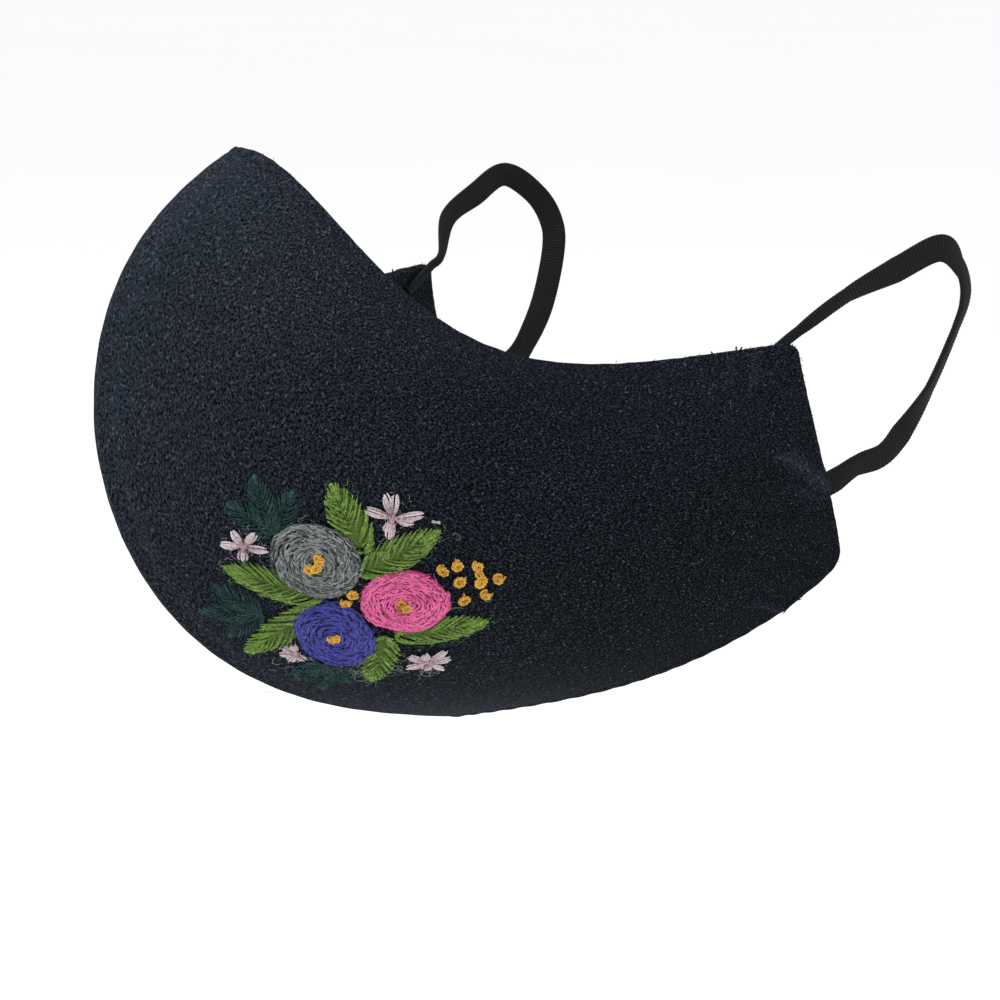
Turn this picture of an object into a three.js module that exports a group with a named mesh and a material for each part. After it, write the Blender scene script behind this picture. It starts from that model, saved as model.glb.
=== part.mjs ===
// A cloth face mask of two cupped panels, with an ear loop on each side and an embroidered bouquet.
// Millimetres. The origin is the top of the centre seam, on the bridge of the nose.
// +X points to the wearer's left, -Y forward, +Z up.
import * as THREE from 'three';

// Cup: the size of one panel, from the centre seam to its side edge
const HALF_WIDTH = 65;
const CUP_DEPTH = 95;
const CUP_HEIGHT = 113;
const WALL = 2.2;
const RIM_ROUND = 0.7;
const SEAM_CLEARANCE = 0.3;
const TOP_CORNER_RADIUS = 1.6;
const LOW_CORNER_RADIUS = 5;

// Ear loops: flat elastic, sewn inside the side edge at its two ends
const ELASTIC_WIDTH = 5;
const ELASTIC_THICKNESS = 1.3;
const ELASTIC_CLEARANCE = 0.3;
const TAB_LENGTH = 9;
const EAR_REACH = 36;
const EAR_RISE = 17.5;
const EAR_SPREAD = 8.5;
const UPPER_END_ACROSS = 0.991;
const UPPER_END_HEADING = -30;
const UPPER_END_GATHER = 0.38;
const LOWER_END_DOWN = 0.63;
const LOWER_END_HEADING = -10;

// Embroidery: raised thread on the wearer's left panel
const BOUQUET_ACROSS = 0.311;
const BOUQUET_DOWN = 0.635;
const ROSE_RADIUS = 8;
const LEAF_LENGTH = 16;
const LEAF_WIDTH = 5.9;
const LEAFLET_LENGTH = 10;
const LEAFLET_WIDTH = 3.2;
const DAISY_RADIUS = 4.2;
const KNOT_DIAMETER = 2.3;
const ROSE_HEIGHT = 1.4;
const LEAF_HEIGHT = 0.9;
const LEAFLET_HEIGHT = 0.7;
const DAISY_HEIGHT = 0.9;
const KNOT_HEIGHT = 1.5;
const SPRIG_SPREAD = 42;
const SIDE_LEAFLET = 0.82;
const SPRIG_HEART = 0.5;
const DAISY_HEART = 0.42;
const PETALS = 5;
const PETAL_ROUND = 0.8;
const LEAF_POINT = 0.25;
const LEAF_BASE_BROAD = 0.15;
const THREAD_EDGE = 0.35;
const THREAD_CLEARANCE = 0.3;

// Panel net: a row for each section of the panel, from the top hem to the lower hem, and a column
// for each line down it. A place is [across, back, down] in shares of HALF_WIDTH, CUP_DEPTH and
// CUP_HEIGHT.
const PANEL_NET = [
  { row: 'top hem', seam: [0, 0, 0], front: [0.237, 0.11, -0.008], noseSide: [0.558, 0.174, 0.423],
    cheek: [0.77, 0.365, 0.323], edge: [0.97, 0.824, 0.3] },
  { row: 'bridge', seam: [0, -0.206, 0.09], front: [0.25, -0.096, 0.11], noseSide: [0.58, 0.104, 0.34],
    cheek: [0.89, 0.414, 0.39], edge: [0.99, 0.834, 0.37] },
  { row: 'nose', seam: [0, -0.476, 0.27], front: [0.29, -0.276, 0.27], noseSide: [0.65, 0.034, 0.38],
    cheek: [0.97, 0.434, 0.44], edge: [1, 0.854, 0.43] },
  { row: 'lips', seam: [0, -0.336, 0.57], front: [0.32, -0.246, 0.52], noseSide: [0.69, 0.034, 0.53],
    cheek: [0.98, 0.494, 0.51], edge: [0.99, 0.884, 0.5] },
  { row: 'chin', seam: [0, -0.286, 0.885], front: [0.34, -0.096, 0.79], noseSide: [0.69, 0.184, 0.71],
    cheek: [0.96, 0.584, 0.61], edge: [0.97, 0.914, 0.57] },
  { row: 'under chin', seam: [0, 0.114, 0.94], front: [0.33, 0.224, 0.92], noseSide: [0.65, 0.464, 0.83],
    cheek: [0.9, 0.724, 0.73], edge: [0.95, 0.954, 0.63] },
  { row: 'lower hem', seam: [0, 0.474, 1], front: [0.26, 0.564, 0.96], noseSide: [0.52, 0.674, 0.91],
    cheek: [0.78, 0.834, 0.835], edge: [0.91, 0.974, 0.68] },
];
const PANEL_COLUMNS = ['seam', 'front', 'noseSide', 'cheek', 'edge'];

// Ear loop route between its two ends: back as a share of EAR_REACH behind the top corner, level
// from 0 at the lower end to 1 at the top of the loop, out as a share of EAR_SPREAD, the turn of
// the band about its length in degrees, and how wide it lies as a share of ELASTIC_WIDTH.
const LOOP_ROUTE = [
  { back: 0.22, level: 0.79, out: 0.41, turn: 25, wide: 0.73 },
  { back: 0.46, level: 0.885, out: 0.75, turn: 5, wide: 1 },
  { back: 0.70, level: 0.965, out: 0.98, turn: 0, wide: 1 },
  { back: 0.88, level: 0.87, out: 0.75, turn: -35, wide: 1 },
  { back: 0.965, level: 0.74, out: 0.53, turn: -30, wide: 1 },
  { back: 0.95, level: 0.60, out: 0.31, turn: -40, wide: 1 },
  { back: 0.835, level: 0.35, out: 0.07, turn: -37, wide: 1 },
  { back: 0.69, level: 0.17, out: -0.09, turn: -4, wide: 1 },
  { back: 0.58, level: 0.085, out: -0.15, turn: -12, wide: 1 },
  { back: 0.43, level: 0.055, out: -0.21, turn: -22, wide: 1 },
];

// Bouquet: places as shares of ROSE_RADIUS, across towards the ear and up, on the bouquet's chart
const ROSES = [
  { name: 'rose_grey', across: -0.44, up: 0.90, size: 1.03, colour: 0x8f9496 },
  { name: 'rose_pink', across: 1.24, up: -0.52, size: 0.99, colour: 0xe58fb4 },
  { name: 'rose_violet', across: -0.58, up: -1.36, size: 0.93, colour: 0x6a64c8 },
];
const LEAVES = [
  { across: 0.68, up: 0.98, heading: 103, length: 0.88, width: 1.0 },
  { across: 0.45, up: 0.44, heading: 21, length: 1.04, width: 0.96 },
  { across: -0.56, up: -0.14, heading: 152, length: 1.14, width: 1.0 },
  { across: -0.62, up: -0.38, heading: 212, length: 1.28, width: 1.0 },
  { across: 0.58, up: -1.52, heading: 246, length: 0.94, width: 1.0 },
  { across: 0.76, up: -1.60, heading: 1, length: 1.08, width: 0.94 },
];
const SPRIGS = [
  { name: 'sprig_top', across: -1.28, up: 1.66, heading: 95, length: 1.14 },
  { name: 'sprig_side', across: -2.06, up: -0.44, heading: 176, length: 1.18 },
  { name: 'sprig_low', across: -1.14, up: -2.34, heading: 256, length: 0.95 },
];
const DAISIES = [
  { across: -1.99, up: 1.45, size: 0.94, turn: 42 },
  { across: 1.49, up: 1.79, size: 1.1, turn: 8 },
  { across: 1.30, up: -2.66, size: 1.1, turn: 24 },
  { across: -1.60, up: -1.84, size: 0.8, turn: 30 },
];
// Knots: places in knot diameters from the middle knot of the group by the pink rose
const OUTER_KNOTS = [
  { across: 0, up: 0 },
  { across: -0.95, up: 1.3 },
  { across: 0.25, up: 1.5 },
  { across: 1.75, up: 1.1 },
  { across: 1.65, up: -0.35 },
  { across: 2.95, up: -0.45 },
  { across: 1.7, up: -1.75 },
  { across: 0, up: -1.9 },
];
const OUTER_KNOTS_BASE = { across: 2.54, up: -0.2 };
const INNER_KNOTS_BASE = { across: 0, up: -0.26 };
const INNER_KNOTS_HEADING = 37;

// Fineness of the faceted solids
const PANEL_STEPS_ACROSS = 24;
const PANEL_STEPS_DOWN = 22;
const LOOP_STEPS = 60;
const ROSE_SIDES = 24;
const LEAF_SIDES = 20;
const SPRIG_SIDES = 36;
const DAISY_SIDES = 30;
const KNOT_SIDES = 8;
const ROSE_RINGS = 3;
const THREAD_RINGS = 2;
const CHART_STEPS = 8;

const vec = (x, y, z) => new THREE.Vector3(x, y, z);
const radians = THREE.MathUtils.degToRad;

// Bernstein weights of the given degree at t
function weights(degree, t) {
  const row = [];
  let choose = 1;
  for (let k = 0; k <= degree; k += 1) {
    row.push(choose * t ** k * (1 - t) ** (degree - k));
    choose = (choose * (degree - k)) / (k + 1);
  }
  return row;
}

// Rates of change of those weights: degree times the difference of neighbours one degree lower
function weightRates(degree, t) {
  const lower = weights(degree - 1, t);
  const rates = [];
  for (let k = 0; k <= degree; k += 1) {
    rates.push(degree * ((lower[k - 1] ?? 0) - (lower[k] ?? 0)));
  }
  return rates;
}

function netSum(acrossWeights, downWeights) {
  const sum = vec(0, 0, 0);
  PANEL_NET.forEach((section, row) => {
    PANEL_COLUMNS.forEach((name, column) => {
      const [across, back, down] = section[name];
      const place = vec(across * HALF_WIDTH, back * CUP_DEPTH, -down * CUP_HEIGHT);
      sum.addScaledVector(place, acrossWeights[column] * downWeights[row]);
    });
  });
  return sum;
}

const ROW_DEGREE = PANEL_NET.length - 1;
const COLUMN_DEGREE = PANEL_COLUMNS.length - 1;

// The panel's outer face at (across, down), each from 0 to 1: its point and its outward normal
function panelFace(across, down) {
  const a = weights(COLUMN_DEGREE, across);
  const d = weights(ROW_DEGREE, down);
  const point = netSum(a, d);
  point.x += SEAM_CLEARANCE / 2;
  const alongAcross = netSum(weightRates(COLUMN_DEGREE, across), d);
  const alongDown = netSum(a, weightRates(ROW_DEGREE, down));
  const normal = vec(0, 0, 0).crossVectors(alongDown, alongAcross).normalize();
  return { point, normal, alongAcross, alongDown };
}

// The face moved inwards by a depth. Near the centre seam the direction leans into the seam's
// plane, so that both panels are mitred where they meet.
function panelInside(face, depth) {
  const lean = Math.min(1, (face.point.x - SEAM_CLEARANCE / 2) / (2 * depth));
  const direction = vec(face.normal.x * lean, face.normal.y, face.normal.z);
  return face.point.clone().addScaledVector(direction, -depth / direction.dot(face.normal));
}

// A closed solid from shared points and faces, turned so that its faces point outwards
function solid(name, points, faces, material) {
  let volume = 0;
  faces.forEach(([a, b, c]) => {
    volume += points[a].dot(vec(0, 0, 0).crossVectors(points[b], points[c]));
  });
  const places = points.flatMap((p) => p.toArray());
  const geometry = new THREE.BufferGeometry();
  geometry.setAttribute('position', new THREE.Float32BufferAttribute(places, 3));
  geometry.setIndex(faces.flatMap(([a, b, c]) => (volume > 0 ? [a, b, c] : [a, c, b])));
  geometry.computeVertexNormals();
  const mesh = new THREE.Mesh(geometry, material);
  mesh.name = name;
  return mesh;
}

// Two triangles for a quad
const quad = (a, b, c, d) => [[a, b, c], [a, c, d]];

const mirrored = (points, side) => points.map((p) => vec(p.x * side, p.y, p.z));

// Rounds a corner of the unit square: within the corner's zone the square is mapped to a disc
function roundedCorner(fromEdgeAcross, fromEdgeDown, zoneAcross, zoneDown) {
  const a = Math.max(0, 1 - fromEdgeAcross / zoneAcross);
  const d = Math.max(0, 1 - fromEdgeDown / zoneDown);
  const rounded = [a * Math.sqrt(1 - (d * d) / 2), d * Math.sqrt(1 - (a * a) / 2)];
  return [(a - rounded[0]) * zoneAcross, (d - rounded[1]) * zoneDown];
}

// The panel's grid place (0 to 1 each way) with both side corners rounded
function cornered(across, down) {
  const middle = panelFace(1, 0.5);
  const width = middle.alongAcross.length();
  const height = middle.alongDown.length();
  const [topAcross, topDown] = roundedCorner(
    1 - across, down, TOP_CORNER_RADIUS / width, TOP_CORNER_RADIUS / height);
  const [lowAcross, lowDown] = roundedCorner(
    1 - across, 1 - down, LOW_CORNER_RADIUS / width, LOW_CORNER_RADIUS / height);
  return [across - topAcross - lowAcross, down + topDown - lowDown];
}

// A grid place drawn in from the hem by the depth of its rounding, which stands out again
function insideHem([across, down]) {
  const side = RIM_ROUND / panelFace(1, down).alongAcross.length();
  const top = RIM_ROUND / panelFace(across, 0).alongDown.length();
  const low = RIM_ROUND / panelFace(across, 1).alongDown.length();
  return [across * (1 - side), top + down * (1 - top - low)];
}

function panel(name, side, material) {
  const across = PANEL_STEPS_ACROSS;
  const down = PANEL_STEPS_DOWN;
  const points = [];
  const faces = [];
  const outer = (i, j) => i * (down + 1) + j;
  const inner = (i, j) => (across + 1) * (down + 1) + outer(i, j);
  const places = [];
  for (let i = 0; i <= across; i += 1) {
    for (let j = 0; j <= down; j += 1) {
      places.push(panelFace(...insideHem(cornered(i / across, j / down))));
    }
  }
  places.forEach((face) => points.push(face.point));
  places.forEach((face) => points.push(panelInside(face, WALL)));
  for (let i = 0; i < across; i += 1) {
    for (let j = 0; j < down; j += 1) {
      faces.push(...quad(outer(i, j), outer(i, j + 1), outer(i + 1, j + 1), outer(i + 1, j)));
      faces.push(...quad(inner(i, j), inner(i + 1, j), inner(i + 1, j + 1), inner(i, j + 1)));
    }
  }
  // The hem runs from the top of the seam round the side edge to the bottom of the seam
  const hem = [];
  for (let i = 0; i < across; i += 1) hem.push([i, 0]);
  for (let j = 0; j < down; j += 1) hem.push([across, j]);
  for (let i = across; i >= 0; i -= 1) hem.push([i, down]);
  const round = hem.map(([i, j], k) => {
    const before = points[outer(...hem[Math.max(0, k - 1)])];
    const after = points[outer(...hem[Math.min(hem.length - 1, k + 1)])];
    const tangent = after.clone().sub(before);
    const outwards = vec(0, 0, 0).crossVectors(places[outer(i, j)].normal, tangent).normalize();
    if (i === 0) outwards.x = 0;
    const middle = points[outer(i, j)].clone().add(points[inner(i, j)]).multiplyScalar(0.5);
    points.push(middle.addScaledVector(outwards, RIM_ROUND));
    return points.length - 1;
  });
  for (let k = 0; k + 1 < hem.length; k += 1) {
    const [here, next] = [hem[k], hem[k + 1]];
    faces.push(...quad(outer(...here), outer(...next), round[k + 1], round[k]));
    faces.push(...quad(round[k], round[k + 1], inner(...next), inner(...here)));
  }
  // The seam face lies flat in the seam's plane
  faces.push([outer(0, 0), round[0], inner(0, 0)]);
  for (let j = 0; j < down; j += 1) {
    faces.push(...quad(outer(0, j), inner(0, j), inner(0, j + 1), outer(0, j + 1)));
  }
  faces.push([outer(0, down), inner(0, down), round[round.length - 1]]);
  return solid(name, mirrored(points, side), faces, material);
}

// The elastic's centre where it lies against the inside of the panel
function seatedPlace(across, down) {
  const face = panelFace(across, down);
  return { at: panelInside(face, WALL + ELASTIC_CLEARANCE + ELASTIC_THICKNESS / 2), face };
}

// One end of the elastic: from inside the panel out past the edge, along a heading on the panel.
// TAB_STATIONS are shares of TAB_LENGTH from the edge, inwards.
const TAB_STATIONS = [1, 0.5, 0, -0.4];

function seatedEnd(across, down, heading) {
  const edge = panelFace(across, down);
  const stepAcross = (Math.cos(radians(heading)) * TAB_LENGTH) / edge.alongAcross.length();
  const stepDown = (Math.sin(radians(heading)) * TAB_LENGTH) / edge.alongDown.length();
  return TAB_STATIONS.map((inwards) => seatedPlace(
    across - inwards * stepAcross, down - inwards * stepDown));
}

function earLoop(name, side, material) {
  const upper = seatedEnd(UPPER_END_ACROSS, 0, UPPER_END_HEADING);
  const lower = seatedEnd(1, LOWER_END_DOWN, LOWER_END_HEADING).reverse();
  const corner = panelFace(1, 0).point;
  const lowest = lower[0].at.z;
  const top = corner.z + EAR_RISE;
  const outwards = vec(1, 0, 0);
  const free = LOOP_ROUTE.map(({ back, level, out, turn, wide }) => ({
    at: vec(corner.x + out * EAR_SPREAD, corner.y + back * EAR_REACH,
      lowest + level * (top - lowest)),
    facing: outwards,
    turn,
    wide,
  }));
  const seated = (wide) => ({ at, face }) => ({ at, facing: face.normal, turn: 0, wide });
  const stations = [...upper.map(seated(UPPER_END_GATHER)), ...free, ...lower.map(seated(1))];
  const route = new THREE.CatmullRomCurve3(stations.map(({ at }) => at), false, 'catmullrom', 0.5);
  const halfThick = ELASTIC_THICKNESS / 2;
  const sides = 6;
  const points = [];
  const faces = [];
  for (let k = 0; k <= LOOP_STEPS; k += 1) {
    const t = k / LOOP_STEPS;
    const place = t * (stations.length - 1);
    const before = stations[Math.floor(place)];
    const after = stations[Math.min(stations.length - 1, Math.floor(place) + 1)];
    const share = place - Math.floor(place);
    const forward = route.getTangent(t);
    const facing = before.facing.clone().lerp(after.facing, share);
    facing.addScaledVector(forward, -facing.dot(forward)).normalize();
    facing.applyAxisAngle(forward, radians(before.turn + (after.turn - before.turn) * share));
    const sideways = vec(0, 0, 0).crossVectors(forward, facing);
    const centre = route.getPoint(t);
    const half = (ELASTIC_WIDTH / 2) * (before.wide + (after.wide - before.wide) * share);
    const flat = half - halfThick;
    const section = [[half, 0], [flat, halfThick], [-flat, halfThick],
      [-half, 0], [-flat, -halfThick], [flat, -halfThick]];
    section.forEach(([w, f]) => {
      points.push(centre.clone().addScaledVector(sideways, w).addScaledVector(facing, f));
    });
  }
  for (let k = 0; k < LOOP_STEPS; k += 1) {
    for (let s = 0; s < sides; s += 1) {
      const next = (s + 1) % sides;
      faces.push(...quad(k * sides + s, k * sides + next, (k + 1) * sides + next, (k + 1) * sides + s));
    }
  }
  const end = LOOP_STEPS * sides;
  for (let s = 1; s + 1 < sides; s += 1) {
    faces.push([0, s + 1, s]);
    faces.push([end, end + s, end + s + 1]);
  }
  return solid(name, mirrored(points, side), faces, material);
}

// The bouquet's chart: the plane that touches the panel at the bouquet's middle
const MIDDLE = panelFace(BOUQUET_ACROSS, BOUQUET_DOWN);
const CHART_ACROSS = MIDDLE.alongAcross.clone().normalize();
const CHART_UP = vec(0, 0, 0).crossVectors(MIDDLE.normal, CHART_ACROSS);

// The panel's face straight behind a place on the chart, in millimetres, found by Newton's steps
function chartFace(across, up) {
  let [a, d] = [BOUQUET_ACROSS, BOUQUET_DOWN];
  let face = MIDDLE;
  for (let step = 0; step < CHART_STEPS; step += 1) {
    const from = face.point.clone().sub(MIDDLE.point);
    const missAcross = across - from.dot(CHART_ACROSS);
    const missUp = up - from.dot(CHART_UP);
    const [aa, ad] = [face.alongAcross.dot(CHART_ACROSS), face.alongDown.dot(CHART_ACROSS)];
    const [ua, ud] = [face.alongAcross.dot(CHART_UP), face.alongDown.dot(CHART_UP)];
    const area = aa * ud - ad * ua;
    a += (missAcross * ud - missUp * ad) / area;
    d += (missUp * aa - missAcross * ua) / area;
    face = panelFace(a, d);
  }
  return face;
}

// How much of the way from a centre to a rim point is free of the roses, with their clearance
function freeShare(centre, rim, own) {
  let share = 1;
  const reach = Math.hypot(...rim);
  ROSES.filter((rose) => rose.name !== own).forEach((rose) => {
    const radius = rose.size * ROSE_RADIUS + THREAD_CLEARANCE;
    const [dx, dy] = [rose.across * ROSE_RADIUS - centre[0], rose.up * ROSE_RADIUS - centre[1]];
    const along = (dx * rim[0] + dy * rim[1]) / reach;
    const off = radius ** 2 - dx ** 2 - dy ** 2 + along ** 2;
    if (along > 0 && off > 0) share = Math.min(share, (along - Math.sqrt(off)) / reach);
  });
  return share;
}

// A low pad of thread on the panel: rings of its outline, domed from THREAD_EDGE to its height
function pad(name, centre, outline, rings, height, material) {
  const rim = outline.map((place) => {
    const share = freeShare(centre, place, name);
    return [place[0] * share, place[1] * share];
  });
  const points = [];
  const faces = [];
  const count = rim.length;
  const layer = (lift) => {
    const first = points.length;
    for (let ring = 0; ring <= rings; ring += 1) {
      const share = ring / rings;
      (ring === 0 ? [[0, 0]] : rim).forEach(([a, u]) => {
        const face = chartFace(centre[0] + a * share, centre[1] + u * share);
        points.push(face.point.clone().addScaledVector(face.normal, lift(share)));
      });
    }
    return first;
  };
  const under = layer(() => THREAD_CLEARANCE);
  const over = layer((share) => THREAD_CLEARANCE + THREAD_EDGE
    + (height - THREAD_EDGE) * Math.sqrt(1 - share * share));
  const place = (first, ring, k) => first + 1 + (ring - 1) * count + (k % count);
  for (let k = 0; k < count; k += 1) {
    faces.push([over, place(over, 1, k), place(over, 1, k + 1)]);
    faces.push([under, place(under, 1, k + 1), place(under, 1, k)]);
    for (let ring = 1; ring < rings; ring += 1) {
      faces.push(...quad(place(over, ring, k), place(over, ring + 1, k),
        place(over, ring + 1, k + 1), place(over, ring, k + 1)));
      faces.push(...quad(place(under, ring, k), place(under, ring, k + 1),
        place(under, ring + 1, k + 1), place(under, ring + 1, k)));
    }
    faces.push(...quad(place(over, rings, k), place(under, rings, k),
      place(under, rings, k + 1), place(over, rings, k + 1)));
  }
  return solid(name, points, faces, material);
}

// An outline of so many points, from a function of the angle that gives a place
const outlineOf = (count, place) => Array.from(
  { length: count }, (_, k) => place((2 * Math.PI * k) / count));

const turned = ([a, u], angle) => [
  a * Math.cos(angle) - u * Math.sin(angle), a * Math.sin(angle) + u * Math.cos(angle)];

const circle = (radius, count) => outlineOf(count, (t) => [radius * Math.cos(t), radius * Math.sin(t)]);

// A leaf outline about its middle: a lens with pointed ends, broadest nearer its base
const leafOutline = (length, width, heading, count) => outlineOf(count, (t) => turned([
  (length / 2) * Math.cos(t),
  (width / 2) * Math.sin(t) * Math.abs(Math.sin(t)) ** LEAF_POINT * (1 - LEAF_BASE_BROAD * Math.cos(t)),
], radians(heading)));

// Three leaflets from one base: lobes at the heading and to both sides of it
const sprigOutline = (length, width, heading, count) => outlineOf(count, (t) => {
  const angle = t - Math.PI;
  const lobes = [-SPRIG_SPREAD, 0, SPRIG_SPREAD].map((side) => {
    const reach = length * (side === 0 ? 1 : SIDE_LEAFLET);
    const off = ((angle - radians(side)) * reach) / width;
    return reach * Math.exp(-off * off);
  });
  const reach = Math.max(...lobes, width * SPRIG_HEART);
  return turned([reach * Math.cos(angle), reach * Math.sin(angle)], radians(heading));
});

// Petals round a heart, deep between them
const daisyOutline = (radius, turn, count) => outlineOf(count, (t) => {
  const petal = Math.abs(Math.cos((PETALS / 2) * t)) ** PETAL_ROUND;
  const reach = radius * (DAISY_HEART + (1 - DAISY_HEART) * petal);
  return turned([reach * Math.cos(t), reach * Math.sin(t)], radians(turn));
});

const finish = (color, roughness) => new THREE.MeshStandardMaterial({ color, roughness, metalness: 0 });
const CLOTH = finish(0x1e222b, 0.92);
const ELASTIC = finish(0x17181c, 0.85);
const LEAF_THREAD = finish(0x7fae3a, 0.8);
const DARK_THREAD = finish(0x1f5a50, 0.8);
const PALE_THREAD = finish(0xe9dcda, 0.8);
const YELLOW_THREAD = finish(0xe6b93a, 0.8);

const onChart = ({ across, up }) => [across * ROSE_RADIUS, up * ROSE_RADIUS];

function roses() {
  return ROSES.map((rose) => pad(rose.name, onChart(rose), circle(rose.size * ROSE_RADIUS, ROSE_SIDES),
    ROSE_RINGS, ROSE_HEIGHT, finish(rose.colour, 0.8)));
}

function leaves() {
  return LEAVES.map((leaf, k) => {
    const length = leaf.length * LEAF_LENGTH;
    const [baseAcross, baseUp] = onChart(leaf);
    const [a, u] = turned([length / 2, 0], radians(leaf.heading));
    return pad(`leaf_${k + 1}`, [baseAcross + a, baseUp + u],
      leafOutline(length, leaf.width * LEAF_WIDTH, leaf.heading, LEAF_SIDES),
      THREAD_RINGS, LEAF_HEIGHT, LEAF_THREAD);
  });
}

function sprigs() {
  return SPRIGS.map((sprig) => pad(sprig.name, onChart(sprig),
    sprigOutline(sprig.length * LEAFLET_LENGTH, LEAFLET_WIDTH, sprig.heading, SPRIG_SIDES),
    THREAD_RINGS, LEAFLET_HEIGHT, DARK_THREAD));
}

function daisies() {
  return DAISIES.map((daisy, k) => pad(`daisy_${k + 1}`, onChart(daisy),
    daisyOutline(daisy.size * DAISY_RADIUS, daisy.turn, DAISY_SIDES),
    THREAD_RINGS, DAISY_HEIGHT, PALE_THREAD));
}

function knot(name, [across, up]) {
  return pad(name, [across, up], circle(KNOT_DIAMETER / 2, KNOT_SIDES), THREAD_RINGS,
    KNOT_HEIGHT, YELLOW_THREAD);
}

function outerKnots() {
  const [across, up] = onChart(OUTER_KNOTS_BASE);
  return OUTER_KNOTS.map((place, k) => knot(`knot_${k + 1}`,
    [across + place.across * KNOT_DIAMETER, up + place.up * KNOT_DIAMETER]));
}

function innerKnots() {
  const [across, up] = onChart(INNER_KNOTS_BASE);
  const reach = (KNOT_DIAMETER + THREAD_CLEARANCE) / 2;
  return [-1, 1].map((way, k) => {
    const [a, u] = turned([way * reach, 0], radians(INNER_KNOTS_HEADING));
    return knot(`knot_${OUTER_KNOTS.length + k + 1}`, [across + a, up + u]);
  });
}

const group = new THREE.Group();
group.add(
  panel('panel_left', 1, CLOTH),
  panel('panel_right', -1, CLOTH),
  earLoop('ear_loop_left', 1, ELASTIC),
  earLoop('ear_loop_right', -1, ELASTIC),
  ...roses(),
  ...leaves(),
  ...sprigs(),
  ...daisies(),
  ...outerKnots(),
  ...innerKnots(),
);

export default group;
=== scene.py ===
"""Cloth face mask: two cupped panels of black crepe, flat ear elastic and an embroidered bouquet.

Metres. The origin is the top of the centre seam, on the bridge of the nose. +X points to the
wearer's left, -Y forward and +Z up."""
import math

import bpy
import numpy as np
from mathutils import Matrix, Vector


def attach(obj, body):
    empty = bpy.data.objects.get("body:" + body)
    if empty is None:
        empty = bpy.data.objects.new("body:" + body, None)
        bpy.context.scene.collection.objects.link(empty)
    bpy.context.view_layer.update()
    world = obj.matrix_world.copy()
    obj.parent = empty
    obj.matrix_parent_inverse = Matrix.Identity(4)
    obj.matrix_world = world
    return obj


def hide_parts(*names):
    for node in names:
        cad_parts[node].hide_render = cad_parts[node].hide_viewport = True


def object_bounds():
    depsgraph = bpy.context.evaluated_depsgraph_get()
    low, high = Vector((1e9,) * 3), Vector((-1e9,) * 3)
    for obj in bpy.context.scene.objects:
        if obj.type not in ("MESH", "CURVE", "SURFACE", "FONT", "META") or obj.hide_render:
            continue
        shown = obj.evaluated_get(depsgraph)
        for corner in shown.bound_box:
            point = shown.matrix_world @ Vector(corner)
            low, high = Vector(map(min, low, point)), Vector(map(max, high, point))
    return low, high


bl_info = {
    "name": "Cloth face mask",
    "version": (1, 0, 0),
    "blender": (4, 5, 0),
    "location": "3D View > Sidebar > Mask",
    "description": "Dresses the frame of a cloth face mask with crepe, elastic and embroidery",
    "category": "Add Mesh",
}

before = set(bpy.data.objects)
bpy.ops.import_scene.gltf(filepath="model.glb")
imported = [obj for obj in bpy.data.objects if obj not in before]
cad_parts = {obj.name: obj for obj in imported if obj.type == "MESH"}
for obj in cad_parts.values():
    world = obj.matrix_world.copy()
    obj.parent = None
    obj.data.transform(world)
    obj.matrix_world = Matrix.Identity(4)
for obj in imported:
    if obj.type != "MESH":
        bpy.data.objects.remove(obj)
FRAME_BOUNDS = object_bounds()
MM = 0.001

# Panel net, as in the solids: a row for each section from the top hem to the lower hem, and a
# column for each line down the panel. A place is (across, back, down) in shares of the cup's
# half width, depth and height.
PANEL_COLUMNS = ("seam", "front", "nose_side", "cheek", "edge")
PANEL_NET = (
    dict(row="top hem", seam=(0, 0, 0), front=(0.237, 0.11, -0.008), nose_side=(0.558, 0.174, 0.423),
         cheek=(0.77, 0.365, 0.323), edge=(0.97, 0.824, 0.3)),
    dict(row="bridge", seam=(0, -0.206, 0.09), front=(0.25, -0.096, 0.11),
         nose_side=(0.58, 0.104, 0.34), cheek=(0.89, 0.414, 0.39), edge=(0.99, 0.834, 0.37)),
    dict(row="nose", seam=(0, -0.476, 0.27), front=(0.29, -0.276, 0.27), nose_side=(0.65, 0.034, 0.38),
         cheek=(0.97, 0.434, 0.44), edge=(1, 0.854, 0.43)),
    dict(row="lips", seam=(0, -0.336, 0.57), front=(0.32, -0.246, 0.52), nose_side=(0.69, 0.034, 0.53),
         cheek=(0.98, 0.494, 0.51), edge=(0.99, 0.884, 0.5)),
    dict(row="chin", seam=(0, -0.286, 0.885), front=(0.34, -0.096, 0.79),
         nose_side=(0.69, 0.184, 0.71), cheek=(0.96, 0.584, 0.61), edge=(0.97, 0.914, 0.57)),
    dict(row="under chin", seam=(0, 0.114, 0.94), front=(0.33, 0.224, 0.92),
         nose_side=(0.65, 0.464, 0.83), cheek=(0.9, 0.724, 0.73), edge=(0.95, 0.954, 0.63)),
    dict(row="lower hem", seam=(0, 0.474, 1), front=(0.26, 0.564, 0.96), nose_side=(0.52, 0.674, 0.91),
         cheek=(0.78, 0.834, 0.835), edge=(0.91, 0.974, 0.68)),
)

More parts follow.
